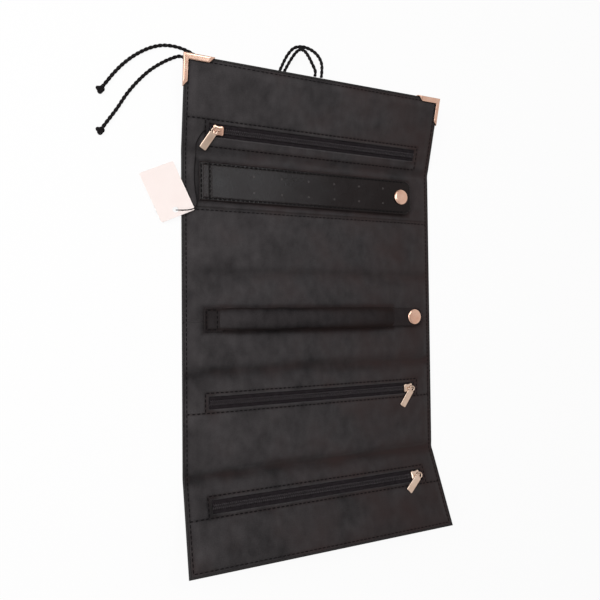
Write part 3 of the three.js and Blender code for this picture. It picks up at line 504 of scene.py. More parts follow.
def overhand(middle):
    """A trefoil line, which is what an overhand knot pulls into: waves of one and two turns, tripled in Z."""
    t = full_turn(KNOT_STEPS)
    line = np.stack([np.sin(t) + 2 * np.sin(2 * t), np.cos(t) - 2 * np.cos(2 * t), -np.sin(3 * t)], axis=1)
    centre = np.array(middle) + KNOT_SCALE * line
    side, lift = square_to(np.roll(centre, -1, axis=0) - np.roll(centre, 1, axis=0), (0, 0, 1))
    points = centre[:, None] + KNOT_TUBE * rings(side, lift, KNOT_SIDES)
    return points, grid_faces(KNOT_STEPS, KNOT_SIDES, True, True)


for strand, points in routes.items():
    path = curve_through(points, TWIST / 14)
    cord = weld(make_piece("cord_" + strand, *twisted(path), cord_finish))
    knot = weld(make_piece("cord_knot_" + strand, *overhand(points[-1]), cord_finish))
    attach(cord, "top_flap")
    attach(knot, "top_flap")
    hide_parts("tie_cord_" + strand)
    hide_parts("tie_knot_" + strand)

# %% [markdown]
# ## The tag and its string
# A swing tag of pale card hangs on a thin string that is caught at the end of the top zip. The tag lies
# half off the roll, so it leans on the padded edge. The card is a ring between the string hole and the
# card's outline, which keeps the hole round, and it stays bare.

# %% Tag string
STRING_DIAMETER = 0.8 * MM
LINING_TOP = 5 * MM
STRING_ON_FLAP = [[16.6, 15.5, 0.8], [14.4, 13.8, 0.8], [12.2, 10.5, 0.8], [10.4, 6.8, 0.8], [9.8, 5, 0.8]]
STRING_ON_PANEL = [
    [9.6, -5, 0.8], [8.9, -11, 0.8], [8.6, -18, 0.8], [8.8, -25, 0.8], [9.5, -31, 0.8], [10.3, -36, 1.1],
    [10.1, -39.4, 1.7], [8.5, -42.1, 1.9], [5.5, -43.4, 1.5], [1, -44, 0.8], [-2.6, -44.1, 0.2],
    [-4.6, -44.1, -0.7],
]
string_corner = np.array([-HALF_WIDTH, TOP_CREASE, LINING_TOP])
string_flap = lifted(np.array(STRING_ON_FLAP) * MM + string_corner, TOP_CREASE, TOP_RISE)
string_panel = np.array(STRING_ON_PANEL) * MM + string_corner
string_path = curve_through(np.vstack([string_flap, string_panel]), 0.7 * MM)
string = weld(make_piece("tag_thread", *tube(string_path, STRING_DIAMETER * 0.42, 8), cord_finish))
fold_at(string, TOP_CREASE)
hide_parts("tag_string", "tag_string_end")
print(string.name, "length", round(path_length(string_path), 3))

# %% Card finish
card_finish = Finish("card", Roughness=0.75)
card_place = card_finish.place()
card_fibre = card_finish.noise(card_place, 0.35 * MM, 4)
card_cloud = card_finish.noise(card_place, 9 * MM, 1)
card_tone = 0.5 * card_fibre + 0.5 * card_cloud
card_pale = picture_colour(252, 243, 238)
card_warm = picture_colour(248, 234, 229)
card_finish.feed("Base Color", card_finish.mixed(card_tone, card_pale, card_warm))
card_finish.bump(card_fibre, 0.05 * MM, 0.4)
print("card finish", card_finish.material.name)

# %% Swing tag
TAG_WIDTH = 25 * MM
TAG_LENGTH = 37 * MM
TAG_THICKNESS = 0.5 * MM
TAG_CORNER = 1.2 * MM
TAG_HOLE = 2 * MM
TAG_HOLE_IN = 5 * MM
TAG_TURN = np.radians(24)
TAG_SLOPE = np.radians(7.75)
TAG_MIDDLE = np.array([-114.8, 82.96, 3.13]) * MM
TAG_CURL = 0.5 * MM
TAG_RINGS = 9
AROUND = 160


def rounded_outline(width, length, corner):
    """Points at even turns round the middle of a rectangle, pushed out to its sides and rounded corners."""
    side = np.array([width / 2 - corner, length / 2 - corner])
    turns = full_turn(AROUND)
    way = np.stack([np.cos(turns), np.sin(turns)], axis=1)
    reach = np.min((side + corner) / np.maximum(np.abs(way), 1e-9), axis=1)
    point = way * reach[:, None]
    inner = np.clip(point, -side, side)
    off = point - inner
    far = np.linalg.norm(off, axis=1, keepdims=True)
    return np.where(far > corner, inner + off / np.maximum(far, 1e-12) * corner, point)


def tag_points():
    """Straight lines from the hole to the outline, above and below, curled a little along the card."""
    outline = rounded_outline(TAG_WIDTH, TAG_LENGTH, TAG_CORNER)
    hole_middle = np.array([0, TAG_HOLE_IN - TAG_LENGTH / 2])
    way = outline - hole_middle
    hole = hole_middle + TAG_HOLE * way / np.linalg.norm(way, axis=1, keepdims=True)
    share = np.linspace(0, 1, TAG_RINGS)[:, None, None]
    face = hole + share * (outline - hole)
    curl = TAG_CURL * (face[..., 1] / (TAG_LENGTH / 2)) ** 2
    upper = np.concatenate([face, (curl + TAG_THICKNESS / 2)[..., None]], axis=-1)
    lower = np.concatenate([face, (curl - TAG_THICKNESS / 2)[..., None]], axis=-1)
    return np.concatenate([upper, lower[::-1]])


def turned_about(points, axis, angle):
    """Points turned about the X, Y or Z axis, numbered 0 to 2."""
    first, second = [(1, 2), (2, 0), (0, 1)][axis]
    out = points.copy()
    out[..., first] = points[..., first] * np.cos(angle) - points[..., second] * np.sin(angle)
    out[..., second] = points[..., first] * np.sin(angle) + points[..., second] * np.cos(angle)
    return out


tag_shape = turned_about(turned_about(tag_points(), 2, TAG_TURN), 1, -TAG_SLOPE) + TAG_MIDDLE
tag = make_piece("tag_card", tag_shape, grid_faces(2 * TAG_RINGS, AROUND, True, True), card_finish)
weld(tag)
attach(tag, "earring_panel")
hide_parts("swing_tag")
print(tag.name, len(tag.data.polygons), "faces")

# %% [markdown]
# ## Suede, leather and the rest
# Suede is a short nap: it scatters light, shows soft clouds where it was stroked, and has no shine.
# Smooth leather has a fine pebbled grain and a low sheen. Zip tape is woven, and the metal is a rose-gold
# plating. Photographs could be wrapped round the piece, but noise worked out by nodes never runs out and
# can be scaled to the real grain.

# %% Suede
def suede(name, dark, light, brown, sheen, place_kind):
    """Clouds, strokes and nap, and the painted shade and highlights that a piece carries, choose between a
    dark and a light tone.
    """
    finish = Finish(name, Roughness=0.95, Sheen_Weight=sheen, Sheen_Roughness=0.6, Specular_IOR_Level=0.08)
    place = finish.place(place_kind)
    cloud = finish.noise(place, 30 * MM, 2)
    stroke = finish.noise(finish.stretched(place, 1.5, 1, 1), 9 * MM, 3)
    nap = finish.noise(place, 0.7 * MM, 2)
    wear = finish.node("ShaderNodeAttribute", {"attribute_name": "wear"}, out="Fac")
    tone = 0.95 * cloud + 0.6 * stroke + 0.5 * nap - 0.55 + wear
    plain = finish.mixed(tone, picture_colour(*dark), picture_colour(*light))
    # The brown share follows slow clouds, grows towards +X as painted warm shade on the right side, and grows
    # with the painted shade.
    to_the_right = finish.node("ShaderNodeSeparateXYZ", None, {"Vector": place}, out="X")
    brown_share_and_painted_shade = 2.0 * finish.noise(place, 31 * MM, 2) - 0.9 + 4.2 * to_the_right - 1.3 * wear
    finish.feed("Base Color", finish.mixed(brown_share_and_painted_shade, plain, picture_colour(*brown)))
    finish.bump(nap + 0.4 * stroke, 0.2 * MM, 0.5)
    return finish


lining_finish = suede("lining_suede", (32, 30, 31), (76, 73, 74), (49, 38, 37), 0.08, "UV")
bar_finish = suede("bar_suede", (22, 20, 21), (62, 59, 60), (38, 30, 29), 0.0, "Object")
print("suede", lining_finish.material.name, bar_finish.material.name)

# %% Leather
def leather(name, dark, light, roughness, gloss, place_kind):
    """Cells under a millimetre wide make the pebbled grain. A slow cloud varies tone and shine; painted shade
    and highlights vary tone.
    """
    finish = Finish(name, Specular_IOR_Level=gloss)
    place = finish.place(place_kind)
    pebble = finish.cells(place, 0.75 * MM)
    fine = finish.noise(place, 0.3 * MM, 2)
    cloud = finish.noise(place, 22 * MM, 2)
    wear = finish.node("ShaderNodeAttribute", {"attribute_name": "wear"}, out="Fac")
    tone = 0.6 * cloud + 0.35 * pebble + 0.15 * fine - 0.05 + wear
    finish.feed("Base Color", finish.mixed(tone, picture_colour(*dark), picture_colour(*light)))
    finish.feed("Roughness", roughness - 0.08 + 0.16 * cloud)
    finish.bump(pebble + 0.3 * fine, 0.09 * MM, 0.5)
    return finish


cover_finish = leather("cover_leather", (28, 27, 27), (47, 45, 45), 0.5, 0.12, "UV")
flap_finish = leather("flap_leather", (7, 4, 4), (29, 22, 22), 0.27, 0.15, "Object")
print("leather", cover_finish.material.name, flap_finish.material.name)

# %% Zip tape, coil and thread
tape_finish = Finish("zip_tape", Roughness=0.8, Specular_IOR_Level=0.1)
tape_place = tape_finish.place()
weave = {"Vector": tape_place, "Scale": 1 / (2.2 * MM), "Distortion": 0.0}
across = tape_finish.node("ShaderNodeTexWave", {"bands_direction": "X"}, weave)
along = tape_finish.node("ShaderNodeTexWave", {"bands_direction": "Y"}, weave)
woven = 0.5 * across + 0.5 * along
fluff = tape_finish.noise(tape_place, 2.4 * MM, 3)
tape_tone = 0.35 * woven + 1.1 * fluff - 0.25
tape_dark = picture_colour(14, 12, 14)
tape_light = picture_colour(44, 39, 42)
tape_finish.feed("Base Color", tape_finish.mixed(tape_tone, tape_dark, tape_light))
tape_finish.bump(woven, 0.15 * MM, 0.7)

coil_finish = Finish("zip_coil", Specular_IOR_Level=0.25)
coil_wear = coil_finish.noise(coil_finish.place(), 2.2 * MM, 3)
coil_dark = picture_colour(23, 20, 22)
coil_light = picture_colour(62, 56, 60)
coil_finish.feed("Base Color", coil_finish.mixed(coil_wear ** 1.5, coil_dark, coil_light))
coil_finish.feed("Roughness", 0.32 + 0.2 * coil_wear)


def flecked(name, size, detail, dark, light, **constants):
    """A dull finish whose tone follows fine noise between a dark and a light colour."""
    finish = Finish(name, **constants)
    fleck = finish.noise(finish.place(), size, detail)
    finish.feed("Base Color", finish.mixed(fleck, picture_colour(*dark), picture_colour(*light)))
    return finish


thread_finish = flecked("thread", 0.3 * MM, 2, (4, 3, 4), (16, 14, 15), Roughness=0.7, Specular_IOR_Level=0.1)
print("tape, coil and thread ready")

# %% Rose gold
def plating(name, deep, pale, roughness):
    """A metal whose tone and roughness drift over a few millimetres."""
    finish = Finish(name, Metallic=1.0)
    drift = finish.noise(finish.place(), 7 * MM, 2)
    finish.feed("Base Color", finish.mixed(drift, picture_colour(*deep), picture_colour(*pale)))
    finish.feed("Roughness", roughness - 0.05 + 0.1 * drift)
    return finish


gold_finish = plating("rose_gold", (198, 152, 128), (224, 194, 176), 0.22)
pull_finish = plating("pale_rose_gold", (194, 168, 148), (222, 204, 188), 0.3)
print("rose gold", gold_finish.material.name, pull_finish.material.name)

# %% Hidden boards and pocket cloth
board_finish = flecked("board", 1.2 * MM, 4, (62, 58, 55), (92, 86, 80), Roughness=0.9)
pocket_finish = flecked("pocket_cloth", 0.6 * MM, 3, (22, 20, 21), (42, 39, 40), Roughness=0.85)
HIDDEN_FINISHES = {
    "_board": board_finish, "_pocket_sheet": pocket_finish, "_socket": gold_finish, "_stud": gold_finish,
}
for name, node in frame["nodes"].items():
    for ending, finish in HIDDEN_FINISHES.items():
        if name.endswith(ending):
            node.data.materials.clear()
            node.data.materials.append(finish.material)
print("boards, pocket sheets and snap parts dressed")

# %% [markdown]
# ## The lining
# Six pieces of suede are sewn over the padding: one at each end and one across each crease. Real cloth
# could be simulated, but sewn lining hardly moves, so its face is a height over the flat panel: full on
# the padding, down to the sewn edge, soft valleys at the creases, a folded lip round each zip, and slow
# random swells where the padding is uneven.

# %% Lining height
SEWN_TOP = 3.0 * MM
HEM = 1.5 * MM
SHOULDER = 6.5 * MM
VALLEY_DEPTH = 2.6 * MM
VALLEY_REACH = 4.0 * MM
CALM_REACH = 9.0 * MM
WRINKLE_HEIGHT = 0.10 * MM
WRINKLE_PITCH = 5.2 * MM
WRINKLE_WANDER = 64 * MM
WRINKLE_REACH = 8 * MM
LIP_HEIGHT = 0.18 * MM
LIP_ROLL = 0.7 * MM
SEAM_SINK = 0.3 * MM
DENT_DEPTH = 1.0 * MM
DENT_X = -90 * MM
DENT_FROM_CREASE = 2.3 * MM
SLOW_SWELL = 0.30 * MM
QUICK_SWELL = 0.11 * MM
WINDOW_HALF_LENGTH = 86.5 * MM
WINDOW_HALF_WIDTH = 4.5 * MM
TOP_ZIP = TOP_CREASE + 15.5 * MM
POCKET_ZIP = POCKET_CREASE - 22 * MM
END_ZIP = END_CREASE - 21.3 * MM
ZIP_PLACES = (TOP_ZIP, POCKET_ZIP, END_ZIP)
ZIP_SEAM = 2.6 * MM
TOP_ZIP_LOWER_SEAM = 6.8 * MM
RIM_SEAM = 3.0 * MM
EARRING_SEAM = EARRING_CREASE + 47.2 * MM
RING_MIDDLE = (EARRING_CREASE + POCKET_CREASE) / 2
FINE = 0.65
PLAIN = 0.85
WAVE_COUNT = 14


def zip_seams(place, lower_seam, left_up, left_down, right_down):
    """The box of seams round a zip: each one's two ends and boldness. Some run on to the side edge."""
    ends = WINDOW_HALF_LENGTH + ZIP_SEAM
    upper = place + WINDOW_HALF_WIDTH + ZIP_SEAM
    lower = place - WINDOW_HALF_WIDTH - lower_seam
    return [
        ([-left_up, upper], [ends, upper], PLAIN), ([-left_down, lower], [right_down, lower], PLAIN),
        ([-ends, lower], [-ends, upper], PLAIN), ([ends, lower], [ends, upper], PLAIN),
    ]


rim_x = HALF_WIDTH - RIM_SEAM
rim_low = END_EDGE + RIM_SEAM
rim_high = TOP_EDGE - RIM_SEAM
seam_x = HALF_WIDTH - HEM - 1 * MM
zip_x = WINDOW_HALF_LENGTH + ZIP_SEAM
earring_y = EARRING_SEAM - 1.8 * MM
SEAMS = [
    ([-rim_x, rim_low], [-rim_x, rim_high], FINE), ([rim_x, rim_low], [rim_x, rim_high], FINE),
    ([-rim_x, rim_high], [rim_x, rim_high], FINE), ([-rim_x, rim_low], [rim_x, rim_low], FINE),
    ([-seam_x, earring_y], [seam_x, earring_y], FINE),
    *zip_seams(TOP_ZIP, TOP_ZIP_LOWER_SEAM, seam_x, zip_x, zip_x),
    *zip_seams(POCKET_ZIP, ZIP_SEAM, zip_x, seam_x, seam_x),
    *zip_seams(END_ZIP, ZIP_SEAM, zip_x, seam_x, seam_x),
]


def swells(x, y, size, seed):
    """A slow random surface: fourteen waves of about that size, each with its own heading and start."""
    waves = np.random.default_rng(seed)
    heading = waves.uniform(0, 2 * np.pi, WAVE_COUNT)
    number = 2 * np.pi / (size * waves.uniform(0.7, 1.6, WAVE_COUNT))
    start = waves.uniform(0, 2 * np.pi, WAVE_COUNT)
    phase = number * (x[..., None] * np.cos(heading) + y[..., None] * np.sin(heading)) + start
    return np.cos(phase).sum(axis=-1) / np.sqrt(WAVE_COUNT)


def edge_distance(x, y):
    """How far a flat place is from the nearest outer edge."""
    return np.minimum(HALF_WIDTH - np.abs(x), np.minimum(TOP_EDGE - y, y - END_EDGE))


def window_distance(x, y, place):
    """How far a flat place is outside a zip's window, and below zero inside it."""
    return np.maximum(np.abs(x) - WINDOW_HALF_LENGTH, np.abs(y - place) - WINDOW_HALF_WIDTH)


def hump(distance, middle, reach):
    """A bell of height one at its middle."""
    return np.exp(-((distance - middle) / reach) ** 2)


def seam_shade(x, y):
    """A seam's boldness on it, fading beside it: a bell of the distance to each seam. All run square."""
    shade = np.zeros(x.shape)
    for (x0, y0), (x1, y1), bold in SEAMS:
        distance = np.hypot(x - np.clip(x, x0, x1), y - np.clip(y, y0, y1))
        shade = np.maximum(shade, bold * hump(distance, 0, 1.0 * MM))
    return shade


RAISED_PIECES = (("ring_bar_anchor", "ring_bar"), ("earring_flap_anchor", "earring_flap"))


def contact_shade(x, y):
    """One where the ring bar and the earring flap meet the lining: a bell of the distance to their edges."""
    shade = np.zeros(x.shape)
    for nodes in RAISED_PIECES:
        boxes = np.array([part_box(node) for node in nodes])
        low = boxes[:, 0].min(axis=0)
        high = boxes[:, 1].max(axis=0)
        outside = np.maximum.reduce([low[0] - x, x - high[0], low[1] - y, y - high[1]])
        shade = np.maximum(shade, hump(outside, 0.3 * MM, 1.8 * MM))
    return shade


def lining_height(x, y):
    """Padding, less valleys, seams and the pull's dent, plus lips, and swells that die out at creases."""
    edge = edge_distance(x, y)
    padding = smooth((edge - RIM_SEAM) / SHOULDER)
    height = SEWN_TOP + (LINING_TOP - SEWN_TOP) * padding
    for crease in CREASE_BODIES:
        height -= VALLEY_DEPTH * padding * hump(y, crease, VALLEY_REACH)
        wander = 0.35 * np.sin(2 * np.pi * x / WRINKLE_WANDER)
        wrinkle = np.sin(2 * np.pi * (y / WRINKLE_PITCH + wander))
        height += WRINKLE_HEIGHT * padding * wrinkle * hump(y, crease, WRINKLE_REACH)
    for place in ZIP_PLACES:
        off = window_distance(x, y, place)
        height += LIP_HEIGHT * padding * hump(off, 1.0 * MM, 0.8 * MM)
        height -= LIP_ROLL * np.clip(1 - off / LIP_ROLL, 0, 1) ** 2 * (off > -1 * MM)
    height -= 0.5 * MM * padding * hump(y, EARRING_SEAM, 0.7 * MM)
    height -= DENT_DEPTH * hump(x, DENT_X, 5 * MM) * hump(y, TOP_CREASE - DENT_FROM_CREASE, 1.5 * MM)
    height -= SEAM_SINK * seam_shade(x, y)
    slow = SLOW_SWELL * swells(x, y, 34 * MM, 3)
    quick = QUICK_SWELL * swells(x, 1.6 * y, 14 * MM, 5)
    calm = 1 - np.max([hump(y, crease, CALM_REACH) for crease in CREASE_BODIES], axis=0)
    return height + padding * calm * (slow + quick)


CREASE_SHADES = {TOP_CREASE: 0.15, EARRING_CREASE: 0.12, POCKET_CREASE: 0.36, END_CREASE: 0.46}


def lining_painted_shade_and_highlight(x, y):
    """Painted shade in the creases and along the seams, and a painted highlight on the folded lips round the
    zips.
    """
    # Painted shade along the seams, and a painted shadow beside the ring bar and the earring flap.
    shade = -0.3 * seam_shade(x, y) - 0.33 * contact_shade(x, y)
    # Painted shade in each crease, patchy and wandering a little.
    for crease, depth in CREASE_SHADES.items():
        patchy = 0.9 + 0.18 * swells(x, 3 * y, 26 * MM, 9)
        wander = 0.9 * MM * swells(x, y, 60 * MM, 8)
        shade = shade - depth * patchy * hump(y, crease + wander, 5.2 * MM)
    for place in ZIP_PLACES:
        off = window_distance(x, y, place)
        # A painted highlight on each zip's folded lip, and painted shade round the two ends of each window.
        shade = shade + 0.12 * hump(off, 0.4 * MM, 0.45 * MM)
        shade = shade - 0.35 * hump(off, 0, 3 * MM) * hump(np.abs(x), WINDOW_HALF_LENGTH, 5 * MM)
    end_flap = smooth((END_CREASE - y) / (30 * MM))
    # Painted shade along the earring seam, and darker over the end flap.
    return shade - 0.3 * hump(y, EARRING_SEAM, 0.8 * MM) - 0.1 * end_flap


print("lining height at the middle", float(lining_height(np.array(0.0), np.array(0.0))))

# %% Lining sheets
LINING_IN = 1.0 * MM
LINING_THICKNESS = 0.6 * MM
CLOSE_STEPS = np.array([-4, -2.8, -2.1, -1.5, -1, -0.6, -0.3, 0, 0.3, 0.6, 1, 1.5, 2.1, 2.8, 4]) * MM


def lines(step, low, high, breaks):
    """Places from low to high that hit every break and stand at most a step apart between them."""
    stops = np.unique(np.round(np.concatenate([[low, high], np.clip(breaks, low, high)]), 6))
    runs = []
    for start, stop in zip(stops[:-1], stops[1:]):
        count = int(np.ceil((stop - start) / step - 1e-6)) + 1
        runs.append(np.linspace(start, stop, count)[:-1])
    return np.append(np.concatenate(runs), stops[-1])


def lining_sheet(name, low, high):
    """The lining's height over a flat grid, with the cells inside a zip's window left out, then bent."""
    ends = WINDOW_HALF_LENGTH + CLOSE_STEPS
    borders = HALF_WIDTH - np.array([2, 2.6, 3, 3.4, 4.2, 5, 6, 7.5, 9]) * MM
    x_breaks = np.concatenate([ends, -ends, borders, -borders])
    x = lines(1.7 * MM, LINING_IN - HALF_WIDTH, HALF_WIDTH - LINING_IN, x_breaks)
    lips = [place + side * WINDOW_HALF_WIDTH + CLOSE_STEPS for place in ZIP_PLACES for side in (-1, 1)]
    y = lines(1.0 * MM, low, high, np.concatenate([*lips, EARRING_SEAM + CLOSE_STEPS]))
    flat = np.stack(np.meshgrid(x, y, indexing="ij"), axis=-1)
    height = lining_height(flat[..., 0], flat[..., 1])
    points = bend(np.concatenate([flat, height[..., None]], axis=-1))
    faces = grid_faces(len(x), len(y))
    middle = flat.reshape(-1, 2)[faces].mean(axis=1)
    open_cells = [window_distance(middle[:, 0], middle[:, 1], place) < 0 for place in ZIP_PLACES]
    faces = faces[~np.any(open_cells, axis=0)]
    wear = lining_painted_shade_and_highlight(flat[..., 0], flat[..., 1])
    sheet = thicken(make_piece(name, points, faces, lining_finish, flat, wear), LINING_THICKNESS)
    return sheet


LINING_WIDTH = 2 * (HALF_WIDTH - LINING_IN)
WINDOW_AREA = 4 * WINDOW_HALF_LENGTH * WINDOW_HALF_WIDTH
top_window = TOP_ZIP + WINDOW_HALF_WIDTH
pocket_window = POCKET_ZIP - WINDOW_HALF_WIDTH
end_window = END_ZIP - WINDOW_HALF_WIDTH
LINING_CUTS = [
    ("lining_top", top_window, TOP_EDGE - LINING_IN, None, 0, ["top_flap_lining_upper"]),
    ("lining_crease_1", EARRING_SEAM, top_window, TOP_CREASE, 1,
     ["top_flap_lining_lower", "earring_panel_lining_upper"]),
    ("lining_crease_2", RING_MIDDLE, EARRING_SEAM, EARRING_CREASE, 0,
     ["earring_panel_lining_lower", "ring_panel_lining"]),
    ("lining_crease_3", pocket_window, RING_MIDDLE, POCKET_CREASE, 1, ["pocket_panel_lining_upper"]),
    ("lining_crease_4", end_window, pocket_window, END_CREASE, 1,
     ["pocket_panel_lining_lower", "end_flap_lining_upper"]),
    ("lining_end", END_EDGE + LINING_IN, end_window, None, 0, ["end_flap_lining_lower"]),
]
for name, low, high, crease, windows, nodes in LINING_CUTS:
    sheet = lining_sheet(name, low, high)
    if crease is None:
        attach(sheet, "top_flap" if low > 0 else "end_flap")
    else:
        fold_at(sheet, crease)
    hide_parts(*nodes)
    area = LINING_WIDTH * (high - low) - windows * WINDOW_AREA
    boards = [node.split("_lining")[0] + "_board" for node in nodes]
    high - low
    print(name, len(sheet.data.polygons), "faces")

# %% [markdown]
# ## The leather cover
# The outside is one skin of leather. At every edge it is turned over onto the lining and sewn down, which
# leaves the narrow rim that shows all round. The rim is a profile carried round the edge: at a side it
# goes straight in, and at a corner it goes in along the diagonal, so the mitre closes by itself.

# %% Cover pieces
HEM_TOP = 3.3 * MM
COVER_THICKNESS = 0.5 * MM
EDGE_ROUND = 0.9 * MM
CUT_ROUND = 0.25 * MM
BACK_IN = 0.9 * MM
CORNER_ROOM = 5 * MM
COVER_STEP = 2.5 * MM


def arc(middle_in, middle_z, radius, start, stop, count=6):
    """Points of a circle in the rim's profile: how far in, and how high."""
    angle = np.radians(np.linspace(start, stop, count))
    return np.stack([middle_in - radius * np.cos(angle), middle_z + radius * np.sin(angle)], axis=1)


def hem_profile():
    """Up round the edge, over onto the lining, then down at the cut edge."""
    lower = arc(EDGE_ROUND, EDGE_ROUND, EDGE_ROUND, -90, 0)
    upper = arc(EDGE_ROUND, HEM_TOP - EDGE_ROUND, EDGE_ROUND, 0, 90)
    cut_edge = arc(HEM - CUT_ROUND, HEM_TOP - CUT_ROUND, CUT_ROUND, 90, 180, 4)
    return np.vstack([lower, upper, cut_edge])


def rim_stations(low, high, closed):
    """Places round the edge, clockwise from above, and the way in at each. closed: 1 top, -1 end, 0 none."""
    crease_breaks = np.concatenate([crease + CLOSE_STEPS * 1.6 for crease in CREASE_BODIES])
    near = low + CORNER_ROOM if closed < 0 else low
    far = high - CORNER_ROOM if closed > 0 else high
    y = lines(COVER_STEP, near, far, crease_breaks)
    x = lines(COVER_STEP, CORNER_ROOM - HALF_WIDTH, HALF_WIDTH - CORNER_ROOM, [0])
    left = np.stack([np.full(len(y), -HALF_WIDTH), y], axis=1)
    right = np.stack([np.full(len(y), HALF_WIDTH), y], axis=1)[::-1]
    left_in = np.tile([1.0, 0], (len(y), 1))
    if not closed:
        return x, y, [(left, left_in), (right, -left_in)]
    edge = TOP_EDGE if closed > 0 else END_EDGE
    end = np.stack([x, np.full(len(x), edge)], axis=1)
    end_in = np.tile([0, -1.0], (len(x), 1))
    if closed > 0:
        corners = ([[-HALF_WIDTH, edge]], [[1.0, -1]], [[HALF_WIDTH, edge]], [[-1.0, -1]])
        base = np.vstack([left, corners[0], end, corners[2], right])
        inward = np.vstack([left_in, corners[1], end_in, corners[3], -left_in])
    else:
        corners = ([[HALF_WIDTH, edge]], [[-1.0, 1]], [[-HALF_WIDTH, edge]], [[1.0, 1]])
        base = np.vstack([right, corners[0], end[::-1], corners[2], left])
        inward = np.vstack([-left_in, corners[1], -end_in, corners[3], left_in])
    return x, y, [(base, inward)]


def carried(base, inward, profile):
    """A profile carried along an edge: a place moves in by the profile's first number, up by its second."""
    flat = base[:, None] + profile[None, :, :1] * inward[:, None]
    height = np.broadcast_to(profile[None, :, 1:], (*flat.shape[:2], 1))
    return np.concatenate([flat, height], axis=-1)


def cover_piece(name, low, high, closed):
    """The flat back and the turned rim, welded where the rim's profile starts."""
    x, y, edges = rim_stations(low, high, closed)
    profile = hem_profile()
    back_x = np.concatenate([[BACK_IN - HALF_WIDTH], x, [HALF_WIDTH - BACK_IN]])
    back_y = y
    if closed > 0:
        back_y = np.append(y, TOP_EDGE - BACK_IN)
    if closed < 0:
        back_y = np.insert(y, 0, END_EDGE + BACK_IN)
    back = np.stack(np.meshgrid(back_x, back_y, indexing="ij"), axis=-1)
    shells = [np.concatenate([back, np.zeros((*back.shape[:2], 1))], axis=-1)]
    shells += [carried(base, inward, profile) for base, inward in edges]
    points, faces = joined(*[(shell, grid_faces(*shell.shape[:2])[:, ::-1]) for shell in shells])
    piece = make_piece(name, bend(points), faces, cover_finish, points[:, :2], sharp=70)
    weld(piece, outward=False)
    return thicken(piece, COVER_THICKNESS)


EARRING_MIDDLE = (TOP_CREASE + EARRING_CREASE) / 2
POCKET_MIDDLE = (POCKET_CREASE + END_CREASE) / 2
COVER_CUTS = [
    ("cover_crease_1", EARRING_MIDDLE, TOP_EDGE, 1, TOP_CREASE, ["top_flap_cover", "earring_panel_cover"]),
    ("cover_crease_2", RING_MIDDLE, EARRING_MIDDLE, 0, EARRING_CREASE, ["ring_panel_cover"]),
    ("cover_crease_3", POCKET_MIDDLE, RING_MIDDLE, 0, POCKET_CREASE, ["pocket_panel_cover"]),
    ("cover_crease_4", END_EDGE, POCKET_MIDDLE, -1, END_CREASE, ["end_flap_cover"]),
]
for name, low, high, closed, crease, nodes in COVER_CUTS:
    piece = cover_piece(name, low, high, closed)
    fold_at(piece, crease)
    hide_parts(*nodes)
    print(name, len(piece.data.polygons), "faces")

# %% [markdown]
# ## Stitches
# Black thread runs round the rim, round each zip and along the seams. A texture could draw it, but real
# thread stands up and casts a small shadow. Each stitch is a short bead with pointed ends, and all the
# stitches near one crease are one mesh.

# %% Stitch rows
STITCH_PITCH = 3.4 * MM
STITCH_LENGTH = 2.4 * MM
STITCH_WIDTH = 1.15 * MM
STITCH_HEIGHT = 0.8 * MM
STITCH_SIDES = 6


def row(start, stop, height=None):
    """Evenly pitched stitches from start to stop: their middles, and the way they run."""
    start = np.array(start, float)
    stop = np.array(stop, float)
    count = max(2, int(round(np.linalg.norm(stop - start) / STITCH_PITCH)))
    share = (np.arange(count)[:, None] + 0.5) / count
    middle = start + share * (stop - start)
    way = np.tile((stop - start) / np.linalg.norm(stop - start), (count, 1))
    top = lining_height(middle[:, 0], middle[:, 1]) if height is None else np.full(count, height)
    return np.column_stack([middle, top]), way


def beads(middles, ways, bold=1.0):
    """A bead's girth rises and falls along its run. Every bead is one grid, thinned, moved and turned."""
    t = np.array([-1, -0.85, 0, 0.85, 1])
    girth = np.array([0, 0.8, 1, 0.8, 0])
    angle = full_turn(STITCH_SIDES)
    length = (t * STITCH_LENGTH / 2)[:, None] * np.ones(STITCH_SIDES)
    width = girth[:, None] * np.cos(angle) * STITCH_WIDTH / 2
    height = girth[:, None] * np.sin(angle) * STITCH_HEIGHT / 2
    side = np.stack([-ways[:, 1], ways[:, 0]], axis=1)
    bold = np.broadcast_to(bold, len(ways))[:, None, None, None]
    flat = length[None, ..., None] * ways[:, None, None] + bold * width[None, ..., None] * side[:, None, None]
    up = bold * height[None, ..., None]
    points = np.concatenate([flat, up], axis=-1) + middles[:, None, None]
    one = grid_faces(len(t), STITCH_SIDES, round_columns=True)
    return points.reshape(-1, 3), repeated(one, len(t) * STITCH_SIDES, len(ways))


rows = [row(start, stop) for start, stop, bold in SEAMS]
stitch_bold = np.concatenate([np.full(len(middles), seam[2]) for (middles, ways), seam in zip(rows, SEAMS)])
stitch_middles = np.vstack([middles for middles, ways in rows])
stitch_ways = np.vstack([ways for middles, ways in rows])
for name, low, high, closed, crease, nodes in COVER_CUTS:
    here = (stitch_middles[:, 1] >= low) & (stitch_middles[:, 1] < high)
    points, faces = beads(stitch_middles[here], stitch_ways[here], stitch_bold[here])
    stitches = weld(make_piece(name.replace("cover", "stitches"), bend(points), faces, thread_finish))
    fold_at(stitches, crease)
    print(stitches.name, int(here.sum()), "stitches")

# %% [markdown]
# ## The zips
# Each zip is two woven tapes with a nylon coil sewn along their edges, a slider and a pull. The coil is a
# real helix: a fine tube whose centre circles as it runs, one each side, half a pitch apart so that they
# mesh. The slider is a rounded block over the coil with a bail on top. A ring goes round the bail's outer
# post, and the pull's flat bar hangs from the ring.

